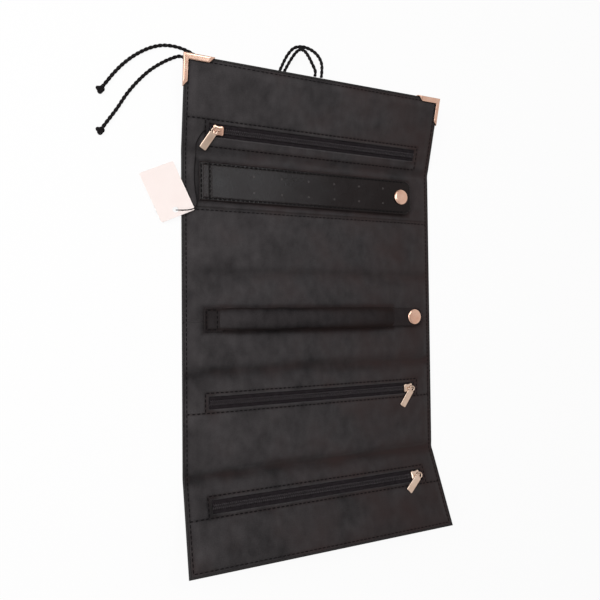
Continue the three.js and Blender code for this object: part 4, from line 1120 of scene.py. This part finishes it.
# %% Tapes and coils
TAPE_TOP = 4.0 * MM
TAPE_HALF_LENGTH = 91 * MM
TAPE_REACH = 8 * MM
TAPE_THICKNESS = 0.35 * MM
TAPE_STEPS = 120
TAPE_LINES = 12
COIL_PITCH = 1.45 * MM
COIL_WIRE = 0.34 * MM
COIL_STEPS = 12
COIL_SIDES = 5
COIL_OUT = 0.8 * MM
COIL_SWING = 0.95 * MM
COIL_MIDDLE = 4.75 * MM
COIL_RISE = 0.45 * MM
ZIPS = {
    "top_zip": (TOP_ZIP, "top_flap", TOP_CREASE, TOP_RISE),
    "pocket_zip": (POCKET_ZIP, "pocket_panel", POCKET_CREASE, 0.0),
    "end_zip": (END_ZIP, "end_flap", END_CREASE, END_RISE),
}


def tape_strip(place, side):
    """A flat woven strip from the coil out under the lining, with a small welt along its inner edge."""
    x = np.linspace(-TAPE_HALF_LENGTH, TAPE_HALF_LENGTH, TAPE_STEPS)
    out = np.linspace(0.15 * MM, TAPE_REACH, TAPE_LINES)
    flat = np.stack(np.meshgrid(x, out, indexing="ij"), axis=-1)
    height = TAPE_TOP + 0.25 * MM * hump(flat[..., 1], 3.2 * MM, 0.6 * MM)
    points = np.stack([flat[..., 0], place + side * flat[..., 1], height], axis=-1)
    return points, grid_faces(TAPE_STEPS, TAPE_LINES)[:, ::side]


def coil(place, side):
    """Wire round a helix: half a turn goes out over the tape and half comes back under it."""
    turns = int(2 * WINDOW_HALF_LENGTH / COIL_PITCH)
    turn = np.linspace(0, 2 * np.pi * turns, turns * COIL_STEPS + 1)
    x = turn / (2 * np.pi) * COIL_PITCH - turns * COIL_PITCH / 2 + (side + 1) / 4 * COIL_PITCH
    swing = np.stack([np.zeros_like(turn), side * np.cos(turn), np.sin(turn)], axis=1)
    y = place + side * COIL_OUT + COIL_SWING * swing[:, 1]
    centre = np.stack([x, y, COIL_MIDDLE + COIL_RISE * swing[:, 2]], axis=1)
    angle = full_turn(COIL_SIDES)[:, None]
    ring = np.cos(angle) * swing[:, None] + np.sin(angle) * np.array([1.0, 0, 0])
    points = centre[:, None] + COIL_WIRE * pinched(len(turn))[:, None, None] * ring
    return points, grid_faces(len(turn), COIL_SIDES, round_columns=True)


def pair(shape, place):
    """The same shape on both sides of a zip, as one set of points and faces."""
    return joined(shape(place, -1), shape(place, 1))


for name, (place, body, crease, rise) in ZIPS.items():
    points, faces = pair(tape_strip, place)
    tape = make_piece(name + "_tape", lifted(points, crease, rise), faces, tape_finish)
    thicken(tape, TAPE_THICKNESS)
    points, faces = pair(coil, place)
    teeth = weld(make_piece(name + "_coil", lifted(points, crease, rise), faces, coil_finish))
    for piece in (tape, teeth):
        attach(piece, body)
    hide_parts(name + "_tape_upper", name + "_tape_lower")
    print(name, len(teeth.data.polygons), "coil faces")

# %% Sliders
SLIDER_X = 81.25 * MM
SLIDER_SIZE = np.array([7.7, 7.0, 2.6]) * MM
SLIDER_MIDDLE = 5.45 * MM
BLOCK_IN = 1.3 * MM
BLOCK_RINGS = 25
BLOCK_SIDES = 48
BAIL_HEIGHT = 8.607 * MM
BAIL_WIRE = 0.5 * MM
BAIL_SIDES = 10
OUTER_POST = 1.7 * MM
BAIL_LINE = np.array([
    [-1.7, 0, 6], [-1.7, 0, 7.3], [-1.5, 0, 8.25], [-1, 0, 8.6], [0.4, 0, 8.607],
    [1.8, 0, 8.6], [2.4, 0, 8.25], [2.6, 0, 7.3], [2.6, 0, 6],
]) * MM


def squared(value, power):
    """A sine or cosine raised to a power with its sign kept, which squares off a round shape."""
    return np.sign(value) * np.abs(value) ** power


def pebble(size, edge):
    """A rounded block: a globe's sines and cosines, squared off towards a box."""
    rise = np.linspace(-np.pi / 2, np.pi / 2, BLOCK_RINGS)[:, None]
    turn = full_turn(BLOCK_SIDES)[None]
    around = squared(np.cos(rise), edge)
    x = around * squared(np.cos(turn), edge)
    y = around * squared(np.sin(turn), edge)
    z = squared(np.sin(rise), edge) * np.ones_like(turn)
    points = np.stack([x, y, z], axis=-1) * size / 2
    return points, grid_faces(BLOCK_RINGS, BLOCK_SIDES, round_columns=True)


def slider_shape():
    """The rounded block, waisted and narrower towards its tail at +X, and the bail's wire arched over it."""
    block, block_faces = pebble(SLIDER_SIZE, 0.4)
    along = block[..., 0] / SLIDER_SIZE[0]
    block[..., 1] *= 1 - 0.2 * along - 0.12 * np.cos(2 * np.pi * along)
    block += [BLOCK_IN, 0, SLIDER_MIDDLE]
    bail = tube(curve_through(BAIL_LINE, 0.25 * MM), BAIL_WIRE, BAIL_SIDES, across=(0, 1, 0))
    return joined((block, block_faces), bail)


print("slider", len(slider_shape()[0]), "points")

# %% Pulls
LINK_HALF = 2.1 * MM
LINK_WIRE = 0.5 * MM
LINK_DOWN = 0.6 * MM
LINK_UNDER = 1.15 * MM
LINK_STEPS = 40
LINK_SIDES = 10
PULL_START = 1.7 * MM
PULL_HALF_WIDTH = 2.7 * MM
PULL_CORNER = 0.7 * MM
PULL_HALF_THICK = 0.42 * MM
PULL_SIDES = 20
PULL_DROP = 2.807 * MM
DROP_OVER_CREASE = 4.35 * MM
ROUNDING = np.linspace(0, np.pi / 2, 8)


def link_shape():
    """A closed ring of wire that lies flat: a circle carried round a circle."""
    turn = full_turn(LINK_STEPS)[:, None]
    around = full_turn(LINK_SIDES)[None]
    reach = LINK_HALF + LINK_WIRE * np.cos(around)
    height = LINK_WIRE * np.sin(around) * np.ones_like(turn)
    points = np.stack([reach * np.cos(turn), reach * np.sin(turn), height], axis=-1)
    return points, grid_faces(LINK_STEPS, LINK_SIDES, True, True)


def tab_shape(tab_end):
    """A flat bar with rounded edges. Its half width follows a quarter circle at each end's corners."""
    begin = PULL_START + PULL_CORNER * (1 - np.cos(ROUNDING))
    end = tab_end - PULL_CORNER * (1 - np.sin(ROUNDING))
    middle = np.linspace(PULL_START + PULL_CORNER, tab_end - PULL_CORNER, 20)[1:-1]
    run = np.concatenate([begin[:1], begin, middle, end, end[-1:]])
    narrow = PULL_CORNER * np.concatenate([1 - np.sin(ROUNDING), np.zeros(len(middle)), 1 - np.cos(ROUNDING)])
    wide = np.concatenate([[0], PULL_HALF_WIDTH - narrow, [0]])
    thick = PULL_HALF_THICK * pinched(len(run))
    girth = full_turn(PULL_SIDES)
    x = wide[:, None] * squared(np.cos(girth), 0.45)
    z = thick[:, None] * squared(np.sin(girth), 0.7)
    points = np.stack([x, -run[:, None] * np.ones_like(x), z], axis=-1)
    return points, grid_faces(len(run), PULL_SIDES, round_columns=True)


def pull_shape(tab_end, lean, drop):
    """The ring round the bail's outer post and the bar that hangs from it, leaning aside and down."""
    tab, tab_faces = tab_shape(tab_end)
    points, faces = joined(link_shape(), (turned_about(tab, 2, -lean), tab_faces))
    points[:, 1] -= LINK_DOWN
    lowest = LINK_DOWN + tab_end * np.cos(lean) + PULL_HALF_WIDTH * np.sin(lean)
    points = turned_about(points, 0, np.arcsin((drop - LINK_UNDER) / lowest))
    points[:, 2] += BAIL_HEIGHT - LINK_UNDER
    return points, faces


CLOSED_ENDS = {
    "top_zip": (-1, 15.1 * MM, 30, DROP_OVER_CREASE, gold_finish),
    "pocket_zip": (1, 16.5 * MM, 31, PULL_DROP, pull_finish),
    "end_zip": (1, 16.5 * MM, 49, PULL_DROP, pull_finish),
}
for name, (closed_end, tab_end, lean, drop, slider_finish) in CLOSED_ENDS.items():
    place, body, crease, rise = ZIPS[name]
    shift = np.array([closed_end * SLIDER_X, place, 0])
    points, faces = slider_shape()
    points[:, 0] *= -closed_end
    raised = lifted(points + shift, crease, rise)
    slider = weld(make_piece(name + "_slider_block", raised, faces, slider_finish))
    points, faces = pull_shape(tab_end, np.radians(lean), drop)
    points[:, 0] += closed_end * OUTER_POST
    raised = lifted(points + shift, crease, rise)
    pull = weld(make_piece(name + "_pull_tab", raised, faces, pull_finish))
    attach(slider, name + "_slider")
    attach(pull, name + "_pull")
    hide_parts(name + "_slider")
    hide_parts(name + "_pull")
    print(name, "slider and pull")

# %% [markdown]
# ## The earring flap
# A strip of smooth leather with two rows of six holes is sewn down at its left end and snaps shut at its
# right. It is a grid along and across the strip: the far end narrows into rounded corners, the edges turn
# down, and a groove runs where the stitches pull it in. It bends where it leaves its sewn end.

# %% Earring flap strip
flap_low, flap_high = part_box("earring_flap")
FLAP_MIDDLE = (flap_low[1] + flap_high[1]) / 2
FLAP_HALF = 14 * MM
FLAP_START = -93 * MM
FLAP_END = 82.5 * MM
FLAP_CORNER = 7 * MM
FLAP_HINGE = joints["earring_flap_lift"]["pos_m"][0]
FLAP_TOP = 6.8 * MM
FLAP_RISE = 0.01779
FLAP_SAG = 0.5 * MM
FLAP_THICKNESS = 1.4 * MM
FLAP_SEAM = 1.5 * MM
FLAP_ROWS_X = np.array([-91.7, -85.4]) * MM
EDGE_TURN = 0.5 * MM
STRIP_LINES = 41


def half_width(x, half, corner, end):
    """The strip's half width, which narrows by a quarter circle at its far corners."""
    into = np.clip(x - (end - corner), 0, corner)
    return half - corner + np.sqrt(np.maximum(corner ** 2 - into ** 2, 0))


def flap_top(x):
    """Level over the sewn end, then a straight rise to the snap with a slight sag."""
    out = np.maximum(x - FLAP_HINGE, 0)
    share = np.clip(out / (FLAP_END - FLAP_HINGE), 0, 1)
    return FLAP_TOP + FLAP_RISE * out - FLAP_SAG * np.sin(np.pi * share)


def turned_down(inset, reach):
    """How far a strip's edge turns down: by the square of the way out over its reach."""
    return EDGE_TURN * np.clip(1 - inset / reach, 0, 1) ** 2


def flap_height(x, inset):
    """The top line, turned down at the edge, with a groove along the stitches and two across the sewn end."""
    height = flap_top(x) - turned_down(inset, 1.0 * MM)
    height -= 0.22 * MM * hump(inset, FLAP_SEAM, 0.6 * MM)
    height -= 0.30 * MM * hump(x, FLAP_ROWS_X[0], 0.8 * MM)
    height -= 0.30 * MM * hump(x, FLAP_ROWS_X[1], 0.8 * MM)
    return height + 0.10 * MM * swells(x, inset, 30 * MM, 11)


def flap_painted_shade_and_highlight(x, inset):
    """Painted shade along the stitches, and a painted highlight on the turned edge and on the ridge between
    the two sewn rows.
    """
    shade = 0.5 * hump(inset, 0.25 * MM, 0.35 * MM) - 0.5 * hump(inset, FLAP_SEAM, 0.8 * MM)
    for sewn_row in FLAP_ROWS_X:
        shade = shade - 0.5 * hump(x, sewn_row, 0.9 * MM)
    return shade + 0.45 * hump(x, FLAP_ROWS_X.mean(), 1.5 * MM)


def strip(name, x, half, corner, end, middle, height, finish, thickness, wear=None):
    """A grid along and across a strip. The cross lines crowd towards its edges, where it turns down."""
    share = np.sin(np.linspace(-np.pi / 2, np.pi / 2, STRIP_LINES))
    wide = half_width(x, half, corner, end)
    grid_x = np.repeat(x[:, None], len(share), axis=1)
    across = wide[:, None] * share
    inset = np.minimum(wide[:, None] - np.abs(across), np.minimum(end - grid_x, grid_x - x[0]))
    points = np.stack([grid_x, middle + across, height(grid_x, inset)], axis=-1)
    shade = None if wear is None else wear(grid_x, inset)
    piece = make_piece(name, points, grid_faces(*points.shape[:2]), finish, wear=shade)
    return thicken(piece, thickness)


flap_round = FLAP_END - FLAP_CORNER * (1 - np.sin(np.linspace(0, np.pi / 2, 14)))
flap_x = lines(1.5 * MM, FLAP_START, FLAP_END - FLAP_CORNER, np.concatenate([
    FLAP_ROWS_X[0] + CLOSE_STEPS, FLAP_ROWS_X[1] + CLOSE_STEPS, [FLAP_HINGE]]))
flap_x = np.concatenate([flap_x, flap_round[1:]])
flap = strip("earring_strip", flap_x, FLAP_HALF, FLAP_CORNER, FLAP_END, FLAP_MIDDLE, flap_height, flap_finish,
             FLAP_THICKNESS, flap_painted_shade_and_highlight)
HINGE_SOFT = 1.2 * MM


def hinge_at(piece, x):
    """Bakes a strip's place into its points. The strip is not bent about x."""
    x - HINGE_SOFT
    x + HINGE_SOFT
    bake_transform(piece)


hinge_at(flap, FLAP_HINGE)
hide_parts("earring_flap", "earring_flap_anchor")
print(flap.name, len(flap.data.polygons), "faces")

# %% Holes and flap stitches
HOLE_COLUMNS = np.linspace(-52.7, 56.3, 6) * MM
HOLE_ROWS = np.array([-6, 6]) * MM
HOLE_INSET = 8 * MM
HOLE_STEPS = 14
HOLE_PROFILE = np.array([
    [0, -0.5], [0.3, -0.5], [0.36, -0.1], [0.44, 0.08], [0.56, 0.14], [0.7, 0.08], [0.85, -0.15], [0.5, -0.7],
    [0, -0.7],
]) * MM


def lathe(profile, steps):
    """A profile of radius and height, turned once round Z. Points on the axis weld into poles."""
    turn = full_turn(steps)[:, None]
    radius = profile[None, :, 0]
    height = np.broadcast_to(profile[None, :, 1], (steps, len(profile)))
    points = np.stack([radius * np.cos(turn), radius * np.sin(turn), height], axis=-1)
    return points, grid_faces(steps, len(profile), round_rows=True)


rim_finish = leather("punched_leather", (74, 70, 70), (100, 96, 96), 0.5, 0.12, "Object")
rim, rim_faces = lathe(HOLE_PROFILE, HOLE_STEPS)
hole_x, hole_y = [axis.ravel() for axis in np.meshgrid(HOLE_COLUMNS, FLAP_MIDDLE + HOLE_ROWS)]
hole_z = flap_height(hole_x, np.full(len(hole_x), HOLE_INSET))
points = rim.reshape(1, -1, 3) + np.stack([hole_x, hole_y, hole_z], axis=1)[:, None]
faces = repeated(rim_faces, rim[..., 0].size, len(hole_x))
holes = weld(make_piece("earring_holes", points, faces, rim_finish))
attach(holes, "earring_flap")


def flap_row(start, stop):
    """A row of stitches that follows the strip's own height."""
    middles, ways = row(start, stop, 0)
    inset = FLAP_HALF - np.abs(middles[:, 1] - FLAP_MIDDLE)
    middles[:, 2] = flap_height(middles[:, 0], inset) + 0.05 * MM
    return middles, ways


def stitched(name, rows):
    """One mesh of the beads of several rows."""
    middles = np.vstack([middles for middles, ways in rows])
    ways = np.vstack([ways for middles, ways in rows])
    return weld(make_piece(name, *beads(middles, ways), thread_finish))


seam_y = FLAP_HALF - FLAP_SEAM
seam_start = FLAP_START + 3 * MM
seam_stop = FLAP_END - FLAP_CORNER
flap_rows = [flap_row([x, FLAP_MIDDLE - seam_y], [x, FLAP_MIDDLE + seam_y]) for x in FLAP_ROWS_X]
for y in (FLAP_MIDDLE - seam_y, FLAP_MIDDLE + seam_y):
    flap_rows.append(flap_row([seam_start, y], [seam_stop, y]))
flap_stitches = stitched("earring_strip_stitches", flap_rows)
hinge_at(flap_stitches, FLAP_HINGE)
print(holes.name, "and", flap_stitches.name)

# %% [markdown]
# ## The ring bar
# A stuffed suede tube that rings slide onto. It is sewn down at its left end inside a stitched box, and at
# its right a flat tab snaps to the panel. The tube is a squared circle whose width and height grow from
# the flat ends, with gathers that fade away from the ends.

# %% Ring bar tube
bar_low, bar_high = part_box("ring_bar")
BAR_MIDDLE = (bar_low[1] + bar_high[1]) / 2
BAR_HINGE = joints["ring_bar_lift"]["pos_m"][0]
BAR_START = BAR_HINGE
BAR_END = bar_high[0]
BAR_TAPER = 13 * MM
BAR_LONG_TAPER = 20 * MM
BAR_FLOOR = 5.25 * MM
BAR_TOP = bar_high[2]
BAR_LEFT_TOP = 6.7 * MM
TAB_LOW = 8.0 * MM
TAB_TOP = 9.6 * MM
TAB_HALF = 7.5 * MM
BAR_STEPS = 120
BAR_SIDES = 72


def ring_bar_points():
    """At each place along the bar a squared circle between its floor and top. Gathers ripple its ends."""
    x = BAR_START + (BAR_END - BAR_START) * (1 - np.cos(np.linspace(0, np.pi, BAR_STEPS))) / 2
    from_left = smooth((x - BAR_START) / BAR_TAPER) ** 0.6
    from_right = smooth((BAR_END - x) / BAR_LONG_TAPER) ** 0.8
    floor = BAR_FLOOR + (TAB_LOW - BAR_FLOOR) * (1 - from_right)
    low_top = np.where(x < 0, BAR_LEFT_TOP, TAB_TOP)
    top = low_top + (BAR_TOP - low_top) * from_left * from_right
    half = TAB_HALF + (bar_high[1] - bar_low[1] - 2 * TAB_HALF) / 2 * from_left * from_right
    closing = pinched(len(x))
    angle = full_turn(BAR_SIDES)
    along = x[:, None] * np.ones(BAR_SIDES)
    from_end = np.minimum(x - BAR_START, BAR_END - x)
    gather = 1 + 0.06 * np.exp(-from_end / (9 * MM))[:, None] * np.cos(11 * angle)
    puff = 1 + 0.018 * swells(along, angle * 9 * MM, 24 * MM, 21)
    across = (half * closing)[:, None] * squared(np.cos(angle), 0.9) * gather * puff
    middle = ((floor + top) / 2)[:, None]
    up = ((top - floor) / 2 * closing)[:, None] * squared(np.sin(angle), 0.95) * gather * puff
    return np.stack([along, BAR_MIDDLE + across, middle + up], axis=-1)


bar_points = ring_bar_points()
bar_turn = full_turn(BAR_SIDES) * np.ones((BAR_STEPS, 1))
# Painted shade on the bar's flanks, and darker towards its right end.
bar_painted_shade = 0.05 - 0.7 * np.abs(np.cos(bar_turn)) ** 3 - 1.6 * bar_points[..., 0]
bar_faces = grid_faces(BAR_STEPS, BAR_SIDES, round_columns=True)
bar = weld(make_piece("ring_bar_tube", bar_points, bar_faces, bar_finish, wear=bar_painted_shade))
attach(bar, "ring_bar")
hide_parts("ring_bar")
print(bar.name, len(bar.data.polygons), "faces")

# %% Ring bar tab and sewn end
ANCHOR_START = -90.3 * MM
ANCHOR_HALF = 8.75 * MM
ANCHOR_TOP = 6.8 * MM
STRAP_THICKNESS = 1.3 * MM
BOX_IN = 1.7 * MM
TAB_START = 62 * MM
TAB_END = 92 * MM
TAB_ROUND = 5 * MM


def tab_height(x, inset):
    """A flat tab, turned down at its edge."""
    return TAB_TOP - turned_down(inset, 1.1 * MM)


def anchor_height(x, inset):
    """A flat patch with a groove along its stitched box."""
    edge = turned_down(inset, 0.9 * MM)
    return ANCHOR_TOP - edge - 0.2 * MM * hump(inset, BOX_IN, 0.5 * MM)


def anchor_tone_and_painted_shade(x, inset):
    """The sewn patch is flattened and dark, with painted shade along its stitched box."""
    return -0.15 - 0.3 * hump(inset, BOX_IN, 1.0 * MM)


tab_round = TAB_END - TAB_ROUND * (1 - np.sin(np.linspace(0, np.pi / 2, 10)))
tab_x = np.concatenate([np.linspace(TAB_START, TAB_END - TAB_ROUND, 24), tab_round[1:]])
tab = strip("ring_bar_snap_tab", tab_x, TAB_HALF, TAB_ROUND, TAB_END, BAR_MIDDLE, tab_height, bar_finish,
            STRAP_THICKNESS)
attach(tab, "ring_bar")
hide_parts("ring_bar_tab")
anchor_x = np.linspace(ANCHOR_START, BAR_HINGE + 2.5 * MM, 40)
anchor = strip("ring_bar_sewn_end", anchor_x, ANCHOR_HALF, 0.5 * MM, 0.0, BAR_MIDDLE, anchor_height,
               bar_finish, STRAP_THICKNESS, anchor_tone_and_painted_shade)
hinge_at(anchor, BAR_HINGE)
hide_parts("ring_bar_anchor")

box_low = BAR_MIDDLE - ANCHOR_HALF + BOX_IN
box_high = BAR_MIDDLE + ANCHOR_HALF - BOX_IN
box_left = ANCHOR_START + BOX_IN
box_right = BAR_HINGE - 1.8 * MM
box_rows = [
    row([box_left, box_low], [box_left, box_high], ANCHOR_TOP - 0.1 * MM),
    row([box_right, box_low], [box_right, box_high], ANCHOR_TOP - 0.1 * MM),
    row([box_left, box_low], [box_right, box_low], ANCHOR_TOP - 0.15 * MM),
    row([box_left, box_high], [box_right, box_high], ANCHOR_TOP - 0.15 * MM),
]
box_stitches = stitched("ring_bar_stitches", box_rows)
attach(box_stitches, "ring_panel")
print(tab.name, anchor.name, box_stitches.name)

# %% [markdown]
# ## Snaps and corner caps
# Each snap shows as a nearly flat disc with a rolled rim, turned like a button. The corner caps are sheet
# metal folded over the top flap's corners, so their section is a C carried round the corner, and their
# arms end at 45 degrees.

# %% Snap caps
CAP_STEPS = 64
CAP_DOWN = 1.35 * MM
CAP_PROFILE = np.array([
    [0, 1.42], [1.5, 1.41], [3.2, 1.36], [4.5, 1.27], [5.2, 1.16], [5.75, 0.98], [6.1, 0.74],
    [6.25, 0.45], [6.18, 0.18], [5.9, 0.02], [5.2, 0], [0, 0],
]) * MM
for name, body in (("earring_snap", "earring_flap"), ("ring_snap", "ring_bar")):
    low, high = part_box(name + "_cap")
    middle = np.array([(low[0] + high[0]) / 2, (low[1] + high[1]) / 2, high[2] - CAP_DOWN])
    points, faces = lathe(CAP_PROFILE, CAP_STEPS)
    cap = weld(make_piece(name + "_disc", points + middle, faces, gold_finish, sharp=60))
    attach(cap, body)
    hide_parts(name + "_cap")
    print(cap.name, len(cap.data.polygons), "faces")

# %% Corner caps
CAP_ARM = 21.5 * MM
CAP_FLANGE = 4.2 * MM
SIDE_ARM = 0.78
CAP_SKIN = 0.7 * MM
CAP_ROUND = 0.9 * MM
CAP_SHEET = 0.5 * MM
CAP_OVER = 0.95 * MM
CAP_LIP = 0.4 * MM


def cap_stations():
    """Round the right corner, clockwise: a 45 degree end, the top, the diagonal, the side, the other end."""
    arm = np.linspace(CAP_ARM - CAP_FLANGE - 0.2 * MM, CAP_FLANGE + 0.2 * MM, 12)[:, None]
    corner = np.array([HALF_WIDTH + CAP_SKIN, TOP_EDGE + CAP_SKIN])
    top = corner - arm * [1, 0]
    down = corner - arm[::-1] * [0, 1]
    base = np.vstack([corner - [CAP_ARM, 0], top, corner, down, corner - [0, CAP_ARM]])
    top_in = np.tile([0, -1.0], (len(arm), 1))
    down_in = np.tile([-SIDE_ARM, 0], (len(arm), 1))
    return base, np.vstack([[1.0, -1], top_in, [-SIDE_ARM, -1], down_in, [-SIDE_ARM, SIDE_ARM]])


def cap_section():
    """A C: under the flap, round the edge, and back over the rim, with a soft inner lip."""
    low = -CAP_SKIN
    high = HEM_TOP + CAP_OVER
    under = np.stack([np.linspace(CAP_FLANGE, CAP_ROUND, 6), np.full(6, low)], axis=1)[:-1]
    over = np.stack([np.linspace(CAP_ROUND, CAP_FLANGE - CAP_LIP, 6), np.full(6, high)], axis=1)[1:]
    lip = arc(CAP_FLANGE - CAP_LIP, high - CAP_LIP, CAP_LIP, 90, 150, 4)[1:]
    lower = arc(CAP_ROUND, low + CAP_ROUND, CAP_ROUND, -90, 0)
    upper = arc(CAP_ROUND, high - CAP_ROUND, CAP_ROUND, 0, 90)
    return np.vstack([under, lower, upper, over, lip])


base, inward = cap_stations()
section = carried(base, inward, cap_section())
for side, mirror in (("right", 1), ("left", -1)):
    points = lifted(section * [mirror, 1, 1], TOP_CREASE, TOP_RISE)
    faces = grid_faces(*section.shape[:2])[:, ::-mirror]
    cap = make_piece("corner_cap_" + side + "_sheet", points, faces, gold_finish, sharp=40)
    thicken(cap, CAP_SHEET)
    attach(cap, "top_flap")
    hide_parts("corner_cap_" + side)
    print(cap.name, len(cap.data.polygons), "faces")

# %% [markdown]
# ## Floor and light
# The roll lies on a white table under soft light from the left. A second lamp stands where the leather
# strip's left end mirrors it, which gives the strip its sheen. The floor and the room show white to the
# camera and in the metal, with a darker patch of room overhead, and the floor still takes a soft shadow.

# %% Floor and light
SEEN_RAYS = ("Is Camera Ray", "Is Glossy Ray", "Is Transmission Ray")
FLOOR_GLOW = 0.93


def floor_material():
    """White to the camera, mirrors and glass, with part of the real shaded floor let through."""
    finish = Finish("white_floor", Base_Color=(0.9, 0.9, 0.9, 1), Roughness=0.9)
    seen = sum(finish.node("ShaderNodeLightPath", out=ray) for ray in SEEN_RAYS)
    glow = finish.node("ShaderNodeEmission", None, {"Color": (1, 1, 1, 1), "Strength": 1.0})
    output = finish.tree.nodes["Material Output"]
    mix = finish.tree.nodes.new("ShaderNodeMixShader")
    put(finish.tree, mix.inputs[0], FLOOR_GLOW * seen)
    finish.tree.links.new(finish.shader.outputs[0], mix.inputs[1])
    put(finish.tree, mix.inputs[2], glow)
    finish.tree.links.new(mix.outputs[0], output.inputs["Surface"])
    return finish


corners = np.array([[-4, -4, 0], [4, -4, 0], [4, 4, 0], [-4, 4, 0]], float)
floor = make_piece("white_table", corners, np.array([[0, 1, 2, 3]]), floor_material())

ROOM_LIGHT = 0.30
world = bpy.data.worlds.new("white_room")
bpy.context.scene.world = world
world.use_nodes = True
room = world.node_tree
background = room.nodes["Background"]
background.inputs["Color"].default_value = (1.0, 0.94, 0.92, 1)
rays = room.nodes.new("ShaderNodeLightPath")
camera_ray, glossy_ray, through_ray = [Shade(room, rays.outputs[kind]) for kind in SEEN_RAYS]
heading = room.nodes.new("ShaderNodeTexCoord")
axes = room.nodes.new("ShaderNodeSeparateXYZ")
room.links.new(heading.outputs["Generated"], axes.inputs[0])
aside = 5.0 * Shade(room, axes.outputs["X"]) - 0.9
mirrored = 1 - 0.5 * (1 + aside * aside) ** -1.0
seen = (1 - ROOM_LIGHT) * (camera_ray + through_ray) + (mirrored - ROOM_LIGHT) * glossy_ray
put(room, background.inputs["Strength"], ROOM_LIGHT + seen)


def soft_lamp(name, place, aim, size, power, colour):
    """A square lamp that faces a point: its -Z runs from its place to the aim."""
    lamp = bpy.data.lights.new(name, "AREA")
    lamp.size = size
    lamp.energy = power
    lamp.color = colour
    holder = bpy.data.objects.new(name, lamp)
    bpy.context.scene.collection.objects.link(holder)
    way = np.array(place, float) - np.array(aim, float)
    way /= np.linalg.norm(way)
    side = np.cross((0, 1, 0), way)
    side /= np.linalg.norm(side)
    turned = np.eye(4)
    turned[:3, :3] = np.stack([side, np.cross(way, side), way], axis=1)
    turned[:3, 3] = place
    holder.matrix_world = Matrix(turned.tolist())


soft_lamp("left_lamp", (-0.50, 0.15, 0.60), (0, 0, 0), 0.6, 3.9, (1.0, 0.99, 1.0))
soft_lamp("sheen_lamp", (0.10, 0.32, 0.85), (-0.09, 0.09, 0), 0.3, 1.6, (0.93, 0.97, 1.0))
print("floor, world and lamps ready")
